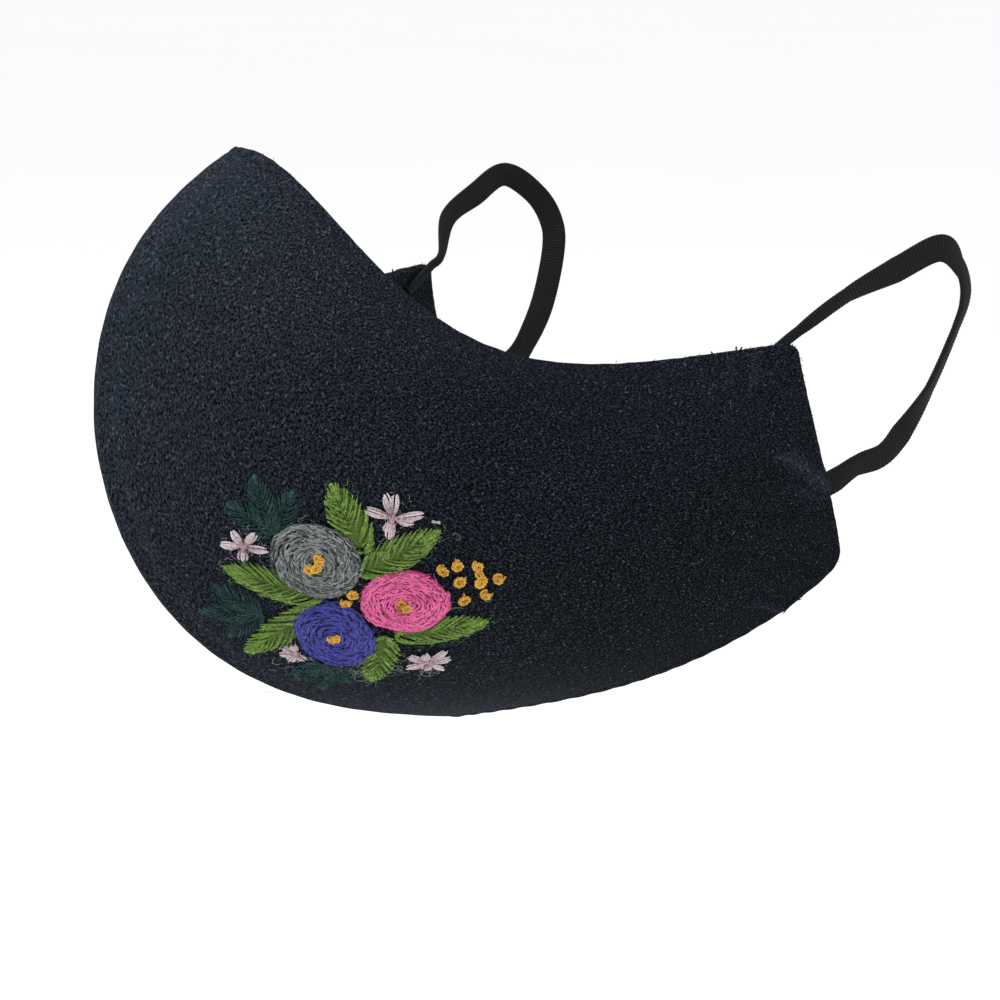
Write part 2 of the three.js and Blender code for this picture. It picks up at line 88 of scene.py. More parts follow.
# Creases and puckers of the worn cloth: ridges between two places of the panel, each place
# (across, down), with the ridge's height and half width
CREASES = (
    dict(start=(0.945, 0.33), end=(0.998, 0.61), height=0.9 * MM, width=1.5 * MM),
    dict(start=(0.915, 0.40), end=(0.985, 0.62), height=-0.55 * MM, width=1.7 * MM),
    dict(start=(0.90, 0.52), end=(0.975, 0.65), height=0.6 * MM, width=1.5 * MM),
    dict(start=(0.86, 0.60), end=(0.96, 0.69), height=-0.35 * MM, width=1.8 * MM),
    dict(start=(0.925, 0.01), end=(0.91, 0.14), height=0.3 * MM, width=0.9 * MM),
    dict(start=(0.953, 0.01), end=(0.94, 0.15), height=0.35 * MM, width=0.9 * MM),
    dict(start=(0.89, 0.01), end=(0.885, 0.10), height=0.25 * MM, width=1.0 * MM),
    dict(start=(0.81, 0.90), end=(0.85, 0.985), height=0.4 * MM, width=1.4 * MM),
    dict(start=(0.88, 0.86), end=(0.93, 0.96), height=0.3 * MM, width=1.3 * MM),
    dict(start=(0.03, 0.42), end=(0.16, 0.47), height=0.25 * MM, width=2.5 * MM),
)

# Painted sheen along the creases and beside the seam: lines between two places, with a half width and
# the strength of the painted light
PAINTED_SHEEN_LINES = (
    dict(start=(0.950, 0.44), end=(0.992, 0.60), width=1.7 * MM, painted_light=1.0),
    dict(start=(0.940, 0.56), end=(0.985, 0.64), width=1.2 * MM, painted_light=0.6),
    dict(start=(0.810, 0.90), end=(0.840, 0.985), width=1.2 * MM, painted_light=0.5),
    dict(start=(0.925, 0.02), end=(0.910, 0.12), width=0.8 * MM, painted_light=0.35),
    dict(start=(0.953, 0.02), end=(0.940, 0.14), width=0.8 * MM, painted_light=0.35),
    dict(start=(0.045, 0.04), end=(0.045, 0.85), width=1.2 * MM, painted_light=0.3),
)

# Thread ends that stand off the hems: places on the panel, headings from straight outwards in
# degrees, and lengths in millimetres
THREAD_ENDS = (
    dict(across=0.862, down=1, heading=25, length=2.0),
    dict(across=0.872, down=1, heading=-35, length=1.7),
    dict(across=0.893, down=1, heading=50, length=1.5),
    dict(across=0.932, down=0, heading=-20, length=0.9),
    dict(across=0.938, down=0, heading=30, length=0.7),
    dict(across=0.905, down=0, heading=-50, length=0.7),
    dict(across=1, down=0.30, heading=40, length=0.7),
    dict(across=0.46, down=1, heading=35, length=0.7),
)
THREAD_END_HALF_WIDTH = 0.2 * MM
# Short fibres all along the hems
HEM_FUZZ = dict(count=420, length=0.75 * MM, half_width=0.05 * MM)

# Ear loop route between its two ends, as in the solids: back as a share of the ear reach behind
# the top corner, level from 0 at the lower end to 1 at the top, out as a share of the spread, the
# band's turn in degrees, and how wide it lies
LOOP_ROUTE = (
    dict(back=0.22, level=0.79, out=0.41, turn=25, wide=0.73),
    dict(back=0.46, level=0.885, out=0.75, turn=5, wide=1),
    dict(back=0.70, level=0.965, out=0.98, turn=0, wide=1),
    dict(back=0.88, level=0.87, out=0.75, turn=-35, wide=1),
    dict(back=0.965, level=0.74, out=0.53, turn=-30, wide=1),
    dict(back=0.95, level=0.60, out=0.31, turn=-40, wide=1),
    dict(back=0.835, level=0.35, out=0.07, turn=-37, wide=1),
    dict(back=0.69, level=0.17, out=-0.09, turn=-4, wide=1),
    dict(back=0.58, level=0.085, out=-0.15, turn=-12, wide=1),
    dict(back=0.43, level=0.055, out=-0.21, turn=-22, wide=1),
)
TAB_STATIONS = (1, 0.5, 0, -0.4)

# Bouquet: places on its chart as shares of the rose radius, across towards the ear and up.
# The roses' outlines are circles drawn out towards two tips, and flattened between five spokes.
ROSES = (
    dict(name="rose_grey", slot="grey_thread", across=-0.44, up=0.90, size=1.03, tips=0.055,
         heading=-42, spokes=0.012, rise=1.3 * MM),
    dict(name="rose_pink", slot="pink_thread", across=1.24, up=-0.52, size=0.99, tips=0.045,
         heading=-4, spokes=0.022, rise=1.35 * MM),
    dict(name="rose_violet", slot="violet_thread", across=-0.56, up=-1.31, size=1.02, tips=0.115,
         heading=96, spokes=0.012, rise=1.25 * MM),
)
# Leaves and sprigs: headings in degrees, lengths and widths as shares of the common sizes
LEAVES = (
    dict(across=0.68, up=0.98, heading=103, length=0.88, width=1.0),
    dict(across=0.45, up=0.44, heading=21, length=1.04, width=0.96),
    dict(across=-0.56, up=-0.14, heading=152, length=1.14, width=1.0),
    dict(across=-0.62, up=-0.38, heading=212, length=1.28, width=1.0),
    dict(across=0.58, up=-1.52, heading=246, length=0.94, width=1.0),
    dict(across=0.76, up=-1.60, heading=1, length=1.08, width=0.94),
)
SPRIGS = (
    dict(name="sprig_top", across=-1.28, up=1.66, heading=95, length=1.14),
    dict(name="sprig_side", across=-2.06, up=-0.44, heading=176, length=1.18),
    dict(name="sprig_low", across=-1.14, up=-2.34, heading=256, length=0.95),
)
# Each petal is its heading in degrees and its length in millimetres
DAISIES = (
    dict(across=-1.99, up=1.45, petals=((116, 3.7), (42, 3.9), (172, 4.4), (256, 3.3), (-19, 4.6))),
    dict(across=1.47, up=1.71,
         petals=((151, 5.3), (98, 4.7), (74, 4.4), (-4, 5.6), (-28, 3.8), (248, 4.4), (232, 3.2))),
    dict(across=1.30, up=-2.66,
         petals=((144, 4.2), (196, 5.0), (34, 4.8), (0, 4.4), (96, 2.6), (-58, 4.0), (246, 3.0))),
    dict(across=-1.60, up=-1.84, petals=((140, 2.9), (188, 3.3), (232, 3.2), (285, 2.7), (92, 2.4))),
)
# Places of the outer knots from their base, in knot diameters
OUTER_KNOTS = (
    dict(across=0, up=0),
    dict(across=-0.95, up=1.3),
    dict(across=0.25, up=1.5),
    dict(across=1.75, up=1.1),
    dict(across=1.65, up=-0.35),
    dict(across=2.95, up=-0.45),
    dict(across=1.7, up=-1.75),
    dict(across=0, up=-1.9),
)
OUTER_KNOTS_BASE = (2.54, -0.2)
INNER_KNOTS_BASE = (0.035, -0.20)
INNER_KNOTS_HEADING = 48
# The knot, counted from 0, that has a smaller second coil: its place and size in knot diameters
DOUBLE_KNOT = dict(knot=4, across=0.05, up=0.72, size=0.8, seed=399)
# How much wider a knot's loose coil lies than the knot
COIL_SPREAD = 1.16
# Yellow hearts of the roses: places from the rose's middle and diameters, in millimetres
HEARTS = {
    "rose_grey": (dict(across=-1.25, up=-0.75, size=2.0, tone=0.1),
                  dict(across=0.1, up=-0.55, size=2.1, tone=0.3),
                  dict(across=0.95, up=0.55, size=2.0, tone=0.2),
                  dict(across=0.6, up=1.5, size=1.8, tone=0.0)),
    "rose_pink": (dict(across=-0.35, up=0.85, size=1.9, tone=-0.7),
                  dict(across=0.3, up=-0.45, size=2.0, tone=-0.2),
                  dict(across=-0.75, up=-0.5, size=1.7, tone=-0.9)),
    "rose_violet": (dict(across=-0.45, up=0.0, size=1.8, tone=0.2),
                    dict(across=0.5, up=0.1, size=1.8, tone=0.5)),
}

# Stray wool under and round the bouquet: places on its chart and lengths in millimetres, headings
# and curls in degrees and radians, and a shade from dark to pale
LOOSE_THREADS = (
    dict(across=-9.0, up=-21.5, heading=8, length=9.0, curl=2.6, shade=0.2),
    dict(across=-4.0, up=-22.8, heading=20, length=10.0, curl=-3.4, shade=0.4),
    dict(across=1.0, up=-21.6, heading=-30, length=8.0, curl=4.2, shade=0.3),
    dict(across=-11.0, up=-24.0, heading=-6, length=7.0, curl=3.0, shade=0.1),
    dict(across=8.8, up=-24.6, heading=-20, length=7.0, curl=-5.0, shade=0.5),
    dict(across=-15.0, up=16.0, heading=60, length=4.5, curl=3.5, shade=0.0),
    dict(across=-17.2, up=-16.5, heading=130, length=4.0, curl=2.0, shade=0.3),
    dict(across=-19.5, up=-5.5, heading=110, length=6.5, curl=-1.6, shade=0.4),
    dict(across=21.5, up=7.4, heading=-60, length=3.4, curl=3.0, shade=0.2),
    dict(across=24.0, up=-6.0, heading=-75, length=3.0, curl=1.0, shade=0.6),
    dict(across=17.0, up=-8.0, heading=-70, length=2.6, curl=1.0, shade=0.6),
    dict(across=-3.0, up=16.4, heading=170, length=3.2, curl=3.0, shade=0.3),
)
WHITE_STITCH = dict(across=18.9, up=11.3, heading=-35, length=1.7)
# How many short curls lie under the bouquet, and how many specks of lint on a panel
LOOSE_CURLS = 110
LINT = 420

# Steps of a panel's grid across and down, steps round a hem, and the share of the way across in
# which the thread of the centre seam draws a panel's edge up to the other panel
PANEL_STEPS = (150, 136)
HEM_STEPS = 8
SEWN_REACH = 0.012
# Share of the outer relief that the inner face shows, and how unevenly a hem's rounding bulges
INNER_RELIEF = 0.3
RIM_UNEVEN = 0.05
# Millimetres of cloth in the UVs: across and down a whole panel, and in one step round a hem
CLOTH_ACROSS, CLOTH_DOWN, CLOTH_HEM_STEP = 118, 150, 0.4

# First seed of each kind of piece, and the step from one piece of it to the next
SEEDS = {"rose": (11, 10), "heart": (51, 7), "leaf": (101, 10), "sprig": (201, 30),
         "daisy": (301, 10), "knot": (401, 1)}


def size_property(name, value, description):
    return bpy.props.FloatProperty(name=name, description=description, default=value, min=0,
                                   precision=5, unit="LENGTH")


def share_property(name, value, description):
    return bpy.props.FloatProperty(name=name, description=description, default=value, min=0, max=1,
                                   precision=3, subtype="FACTOR")


def colour_property(name, value, description):
    return bpy.props.FloatVectorProperty(name=name, description=description, default=value, min=0,
                                         max=1, size=3, subtype="COLOR")


class CupSettings(bpy.types.PropertyGroup):
    """Sizes of the two cupped panels"""
    half_width: size_property("Half width", 65 * MM, "From the centre seam to the side edge")
    depth: size_property("Depth", 95 * MM, "From the nose bridge back to the side edge")
    height: size_property("Height", 113 * MM, "From the nose bridge down to the chin")
    wall: size_property("Wall", 2.2 * MM, "Thickness of the two cloth layers")
    rim_round: size_property("Rim round", 0.7 * MM, "How far a hem bulges past the cut edge")
    seam_clearance: size_property("Seam clearance", 0.3 * MM, "Gap between the two panels")
    top_corner: size_property("Top corner", 1.6 * MM, "Radius of the upper corner")
    low_corner: size_property("Low corner", 3.6 * MM, "Radius of the lower corner")
    seam_roll: size_property("Seam roll", 0.42 * MM, "How deep the cloth rolls into the seam")
    seam_soft: size_property("Seam softness", 0.6 * MM, "How far from the seam the roll reaches")
    stitch_inset: size_property("Topstitch inset", 2.4 * MM, "From the hem to its topstitch")
    stitch_dent: size_property("Topstitch dent", 0.14 * MM, "How deep the topstitch pulls in")
    stitch_pitch: size_property("Topstitch pitch", 2.5 * MM, "From one stitch to the next")
    stitch_width: size_property("Topstitch width", 0.26 * MM, "Width of the sewing thread")
    pucker: size_property("Pucker", 0.08 * MM, "Height of the small ripples along the hems")
    wave: size_property("Wave", 0.22 * MM, "Height of the slow waves of the worn cloth")


class ElasticSettings(bpy.types.PropertyGroup):
    """Sizes of the flat ear elastic"""
    width: size_property("Width", 5 * MM, "Width of the band")
    thickness: size_property("Thickness", 1.3 * MM, "Thickness of the band")
    clearance: size_property("Clearance", 0.3 * MM, "Gap to the inside of the panel")
    tab_length: size_property("Tab length", 9 * MM, "How far an end reaches inside the panel")
    reach: size_property("Reach", 36 * MM, "How far the loop reaches behind the top corner")
    rise: size_property("Rise", 17.5 * MM, "How far the loop rises above the top corner")
    spread: size_property("Spread", 8.5 * MM, "How far the loop stands out at the ear")
    rib_pitch: size_property("Rib pitch", 0.62 * MM, "From one knitted rib to the next")
    rib_height: size_property("Rib height", 0.07 * MM, "How far a rib stands proud")
    upper_across: share_property("Upper end", 0.991, "Where the upper end leaves the top hem")
    upper_heading: bpy.props.FloatProperty(
        name="Upper heading", description="Heading of the upper end", default=math.radians(-30),
        subtype="ANGLE")
    upper_gather: share_property("Upper gather", 0.38, "Width of the gathered upper end")
    lower_down: share_property("Lower end", 0.63, "Where the lower end leaves the side edge")
    lower_heading: bpy.props.FloatProperty(
        name="Lower heading", description="Heading of the lower end", default=math.radians(-10),
        subtype="ANGLE")


class EmbroiderySettings(bpy.types.PropertyGroup):
    """Sizes of the embroidery"""
    across: share_property("Across", 0.311, "Place of the bouquet across the panel")
    down: share_property("Down", 0.635, "Place of the bouquet down the panel")
    rose_radius: size_property("Rose radius", 8 * MM, "Radius of a rose")
    leaf_length: size_property("Leaf length", 16 * MM, "Length of a bright leaf")
    leaf_width: size_property("Leaf width", 5.9 * MM, "Width of a bright leaf")
    leaflet_length: size_property("Leaflet length", 10 * MM, "Length of a dark leaflet")
    leaflet_width: size_property("Leaflet width", 4.2 * MM, "Width of a dark leaflet")
    leaflet_spread: bpy.props.FloatProperty(
        name="Leaflet spread", description="Angle between neighbouring leaflets",
        default=math.radians(40), subtype="ANGLE")
    petal_width: size_property("Petal width", 1.3 * MM, "Width of a daisy's petal")
    knot_diameter: size_property("Knot diameter", 2.3 * MM, "Diameter of a thread knot")
    knot_clearance: size_property("Knot clearance", 0.3 * MM, "Gap between neighbouring knots")
    wool: size_property("Wool", 0.60 * MM, "Thickness of the roses' two-ply thread")
    pitch: size_property("Pitch", 0.59 * MM, "From one turn of a rose to the next")
    leaf_wool: size_property("Leaf wool", 0.52 * MM, "Thickness of the leaves' thread")
    twist: size_property("Twist", 1.0 * MM, "Length in which the two plies wind round once")
    fuzz: size_property("Fuzz", 0.042 * MM, "Thickness of a loose fibre")


class ColourSettings(bpy.types.PropertyGroup):
    """Base colours of the cloth and threads"""
    cloth: colour_property("Cloth", (0.0030, 0.0038, 0.0054), "Black crepe")
    cloth_speck: colour_property("Cloth specks", (0.075, 0.088, 0.108), "Pale specks of the crepe")
    elastic: colour_property("Elastic", (0.0085, 0.0092, 0.0096), "Black knitted elastic")
    sewing: colour_property("Sewing thread", (0.0050, 0.0056, 0.0070), "Topstitch thread")
    grey: colour_property("Grey wool", (0.128, 0.138, 0.134), "The upper rose")
    pink: colour_property("Pink wool", (0.68, 0.135, 0.320), "The rose by the ear")
    violet: colour_property("Violet wool", (0.050, 0.052, 0.245), "The lower rose")
    leaf: colour_property("Leaf wool", (0.125, 0.215, 0.042), "The bright leaves")
    dark: colour_property("Dark wool", (0.0130, 0.0340, 0.0335), "The dark sprigs")
    pale: colour_property("Pale wool", (0.55, 0.455, 0.48), "The daisies")
    yellow: colour_property("Yellow wool", (0.56, 0.315, 0.052), "The knots")


class StageSettings(bpy.types.PropertyGroup):
    """Camera, lights and floor"""
    azimuth: bpy.props.FloatProperty(name="Azimuth", description="Camera heading about the mask",
                                     default=math.radians(57), subtype="ANGLE")
    elevation: bpy.props.FloatProperty(name="Elevation", description="Camera height angle",
                                       default=math.radians(12), subtype="ANGLE")
    distance: size_property("Distance", 580 * MM, "Camera to target")
    target: bpy.props.FloatVectorProperty(
        name="Target", description="What the middle of the picture looks at", size=3,
        default=(0.03728, 0.03176, -0.06183), subtype="TRANSLATION", unit="LENGTH")
    view_width: size_property("View width", 1 / 5.6, "Width of the picture at the target")
    floor_drop: size_property("Floor drop", 0.16, "From the chin down to the floor")


def settings():
    """The five groups of sizes and colours that the scene holds."""
    scene = bpy.context.scene
    return (scene.mask_cup, scene.mask_elastic, scene.mask_embroidery, scene.mask_colours,
            scene.mask_stage)


def seed_of(kind, k):
    """Seed of the k-th piece of a kind: its first seed and k steps."""
    first, step = SEEDS[kind]
    return first + step * k


def unit(vectors):
    """Vectors brought to length one."""
    return vectors / np.linalg.norm(vectors, axis=-1, keepdims=True)


def dot(a, b):
    """Dot product of each pair of vectors."""
    return (a * b).sum(-1)


def direction(angle):
    """Unit steps at angles: cosine and sine."""
    return np.stack([np.cos(angle), np.sin(angle)], -1)


def lengths_along(points):
    """Length from the first point of a path to each of its points, for a path or for a stack."""
    steps = np.linalg.norm(np.diff(points, axis=-2), axis=-1)
    return np.concatenate([np.zeros(steps.shape[:-1] + (1,)), np.cumsum(steps, axis=-1)], -1)


def strand_axes(paths, normals):
    """Both axes across strands of points: sideways along the cloth, and up off it."""
    forward = unit(np.gradient(paths, axis=1))
    side = unit(np.cross(forward, normals))
    return side, np.cross(side, forward)


def ridge(across, down, wide, tall, line):
    """One on a line between two places of the panel, falling off as a Gaussian of the distance
    from it over the line's width. wide and tall are the panel's lengths across and down."""
    start, end = np.array(line["start"]), np.array(line["end"])
    run = (end - start) * (wide, tall)
    off = np.stack([(across - start[0]) * wide, (down - start[1]) * tall], -1)
    share = np.clip((off @ run) / (run @ run), 0, 1)
    return np.exp(-((np.linalg.norm(off - share[..., None] * run, axis=-1) / line["width"]) ** 2))


def bernstein(degree, t):
    """Bernstein weights of a degree at t: choose(degree, k) times t to the k times (1 - t) to the
    rest, with k along the last axis."""
    k = np.arange(degree + 1)
    choose = np.array([math.comb(degree, i) for i in k])
    t = np.asarray(t, float)[..., None]
    return choose * t**k * (1 - t) ** (degree - k)


def bernstein_rate(degree, t):
    """Rates of those weights: degree times the difference of neighbours one degree lower."""
    lower = bernstein(degree - 1, t)
    none = np.zeros(lower.shape[:-1] + (1,))
    return degree * (np.concatenate([none, lower], -1) - np.concatenate([lower, none], -1))


class PanelShape:
    """The wearer's left panel as a surface of two parameters from 0 to 1: across, from the seam to
    the side edge, and down, from the top hem to the lower hem."""

    def __init__(self, cup, embroidery):
        self.cup = cup
        table = np.array([[row[column] for column in PANEL_COLUMNS] for row in PANEL_NET], float)
        self.net = table * (cup.half_width, cup.depth, -cup.height)
        self.middle = (embroidery.across, embroidery.down)
        point, normal, along_across, _ = self.face(*np.array(self.middle)[:, None])
        self.chart_origin = point[0]
        self.chart_across = unit(along_across[0])
        self.chart_up = np.cross(normal[0], self.chart_across)

    def face(self, across, down):
        """Points, normals and both rates: the net's places summed with Bernstein weights of
        across (degree 4) and down (degree 6). The normal is the rates' cross product."""
        columns, rows = len(PANEL_COLUMNS) - 1, len(PANEL_NET) - 1
        a, d = bernstein(columns, across), bernstein(rows, down)
        total = "...k,...r,rkc->...c"
        point = np.einsum(total, a, d, self.net) + (self.cup.seam_clearance / 2, 0, 0)
        along_across = np.einsum(total, bernstein_rate(columns, across), d, self.net)
        along_down = np.einsum(total, a, bernstein_rate(rows, down), self.net)
        return point, unit(np.cross(along_down, along_across)), along_across, along_down

    def moved(self, point, normal, height):
        """Points moved by a height off the face. Near the centre seam the direction leans into
        the seam's plane, so that both panels are mitred there."""
        from_seam = (point[..., :1] - self.cup.seam_clearance / 2) / (2 * self.cup.wall)
        lean = np.clip(from_seam, 0, 1)
        way = normal * np.concatenate([lean, np.ones_like(lean), np.ones_like(lean)], -1)
        return point + way * (height / dot(way, normal))[..., None]

    def relief(self, across, down, along_across, along_down):
        """Height of the sewn and worn cloth off the smooth face: a roll into the seam, a dent
        under the topstitch, ripples that fade from the hems, slow waves and the creases."""
        cup = self.cup
        wide, tall = np.linalg.norm(along_across, axis=-1), np.linalg.norm(along_down, axis=-1)
        seam, side = across * wide, (1 - across) * wide
        top, low = down * tall, (1 - down) * tall
        hem = np.minimum(np.minimum(top, low), side)
        roll = -cup.seam_roll * np.exp(-((seam / cup.seam_soft) ** 2))
        height = -cup.stitch_dent * np.exp(-(((hem - cup.stitch_inset) / (0.45 * MM)) ** 2))
        ripple = np.sin(2 * np.pi * 21 * across + 2.1 * np.sin(9 * across) + 3 * down)
        height += cup.pucker * ripple * np.exp(-top / (5 * MM))
        ripple = np.sin(2 * np.pi * 19 * across + 1.7 * np.sin(11 * across) - 2 * down)
        height += cup.pucker * ripple * np.exp(-low / (5 * MM))
        ripple = np.sin(2 * np.pi * 23 * down + 1.3 * np.sin(7 * down))
        height += 0.4 * cup.pucker * ripple * np.exp(-seam / (4 * MM))
        height += (cup.wave * np.sin(7.3 * across + 2.2 * np.sin(4.1 * down))
                   * np.sin(6.1 * down + 3 * across))
        for crease in CREASES:
            height += crease["height"] * ridge(across, down, wide.mean(), tall.mean(), crease)
        return roll + height * np.clip(hem / (0.6 * MM), 0, 1)

    def painted_light(self, across, down, along_across, along_down):
        """Painted light of the cloth: painted sheen along the listed lines, a painted highlight in a
        slow rise to the nose, and painted shade towards the lower hem.
        """
        wide = np.linalg.norm(along_across, axis=-1).mean()
        tall = np.linalg.norm(along_down, axis=-1).mean()
        # painted highlight near the seam and the nose, painted shade towards the lower hem
        pale = 0.85 * np.exp(-((across / 0.40) ** 2)) * (1 - 0.6 * down) - 0.45 * down**2
        # painted sheen along each listed line
        for line in PAINTED_SHEEN_LINES:
            pale += line["painted_light"] * ridge(across, down, wide, tall, line)
        return pale

    def cloth(self, across, down, lift=0):
        """Points of the finished cloth with its relief, raised by a lift, and the face's normals."""
        point, normal, along_across, along_down = self.face(across, down)
        height = self.relief(across, down, along_across, along_down) + lift
        return self.moved(point, normal, height), normal

    def from_chart(self, places):
        """Panel parameters straight behind places of the bouquet's chart, in metres, by Newton's
        steps on both chart coordinates."""
        across = np.full(places.shape[:-1], self.middle[0])
        down = np.full(places.shape[:-1], self.middle[1])
        axes = np.stack([self.chart_across, self.chart_up])
        for _ in range(8):
            point, _, along_across, along_down = self.face(across, down)
            miss = places - (point - self.chart_origin) @ axes.T
            by_across, by_down = along_across @ axes.T, along_down @ axes.T
            area = by_across[..., 0] * by_down[..., 1] - by_down[..., 0] * by_across[..., 1]
            across = across + (miss[..., 0] * by_down[..., 1] - miss[..., 1] * by_down[..., 0]) / area
            down = down + (miss[..., 1] * by_across[..., 0] - miss[..., 0] * by_across[..., 1]) / area
        return across, down

    def on_chart(self, places, lift):
        """Points and normals on the cloth for places on the bouquet's chart."""
        return self.cloth(*self.from_chart(places), lift)


class Mesh:
    """Collects points, faces, UVs and a tone for each point, and makes them one object."""

    def __init__(self):
        self.points, self.tones, self.faces, self.uvs = [], [], [], []
        self.count = 0

    def add(self, points, faces, tone=0.0):
        """faces are pairs of an index array and its UV array, a row for each face. tone is one
        number, or one for each point."""
        points = points.reshape(-1, 3)
        tone = np.asarray(tone, float).reshape(-1)
        self.points.append(points)
        self.tones.append(np.repeat(tone, len(points)) if len(tone) == 1 else tone)
        for index, uv in faces:
            self.faces.append(index + self.count)
            self.uvs.append(uv)
        self.count += len(points)

    def mirror(self):
        """The same mesh for the other side: x is turned round, and so is each face."""
        other = Mesh()
        other.points = [points * (-1, 1, 1) for points in self.points]
        other.tones = list(self.tones)
        other.faces = [index[:, ::-1] for index in self.faces]
        other.uvs = [uv[:, ::-1] for uv in self.uvs]
        other.count = self.count
        return other

    def build(self, name, material, slot, *replaced):
        """Make the object, and hide the frame's nodes that it stands for. slot is not used."""
        points = np.concatenate(self.points)
        corners = np.concatenate([index.reshape(-1) for index in self.faces])
        sizes = np.concatenate([np.full(len(index), index.shape[1]) for index in self.faces])
        data = bpy.data.meshes.new(name)
        data.vertices.add(len(points))
        data.vertices.foreach_set("co", points.astype(np.float32).reshape(-1))
        data.loops.add(len(corners))
        data.loops.foreach_set("vertex_index", corners.astype(np.int32))
        data.polygons.add(len(sizes))
        starts = np.concatenate([[0], np.cumsum(sizes)[:-1]])
        data.polygons.foreach_set("loop_start", starts.astype(np.int32))
        data.polygons.foreach_set("use_smooth", np.ones(len(sizes), bool))
        layer = data.uv_layers.new(name="UVMap")
        uvs = np.concatenate([uv.reshape(-1, 2) for uv in self.uvs])
        layer.data.foreach_set("uv", uvs.astype(np.float32).reshape(-1))
        tone = data.attributes.new("tone", "FLOAT", "POINT")
        tone.data.foreach_set("value", np.concatenate(self.tones).astype(np.float32))
        data.update(calc_edges=True)
        data.validate()
        data.materials.append(material)
        piece = bpy.data.objects.new(name, data)
        bpy.context.scene.collection.objects.link(piece)
        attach(piece, "root")
        if replaced:
            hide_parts(*replaced)
        return piece


def grid_quads(rows, columns):
    """Index quads of a grid of rows by columns points, with the row's index slowest."""
    i, j = np.meshgrid(np.arange(rows - 1), np.arange(columns - 1), indexing="ij")
    first = (i * columns + j).reshape(-1)
    return np.stack([first, first + 1, first + columns + 1, first + columns], -1)


def eased(count, closeness):
    """Parameters from 0 to 1 with steps that are finer at both ends: t less a share of a sine."""
    t = np.linspace(0, 1, count)
    return t - closeness * np.sin(2 * np.pi * t) / (2 * np.pi)


def rounded_corner(from_across, from_down, zone_across, zone_down):
    """How far a grid place moves when a corner of the unit square is mapped to a disc."""
    a = np.clip(1 - from_across / zone_across, 0, None)
    d = np.clip(1 - from_down / zone_down, 0, None)
    return ((a - a * np.sqrt(1 - d * d / 2)) * zone_across,
            (d - d * np.sqrt(1 - a * a / 2)) * zone_down)


def cornered(shape, across, down):
    """Grid places with both side corners rounded."""
    _, _, along_across, along_down = shape.face(np.array([1.0]), np.array([0.5]))
    width, height = np.linalg.norm(along_across), np.linalg.norm(along_down)
    top, low = shape.cup.top_corner, shape.cup.low_corner
    top_across, top_down = rounded_corner(1 - across, down, top / width, top / height)
    low_across, low_down = rounded_corner(1 - across, 1 - down, low / width, low / height)
    return across - top_across - low_across, down + top_down - low_down


def inside_hem(shape, across, down):
    """Grid places drawn in from the hem by the depth of its rounding, which stands out again."""
    depth = shape.cup.rim_round
    side = depth / np.linalg.norm(shape.face(np.ones_like(across), down)[2], axis=-1)
    top = depth / np.linalg.norm(shape.face(across, np.zeros_like(down))[3], axis=-1)
    low = depth / np.linalg.norm(shape.face(across, np.ones_like(down))[3], axis=-1)
    return across * (1 - side), top + down * (1 - top - low)


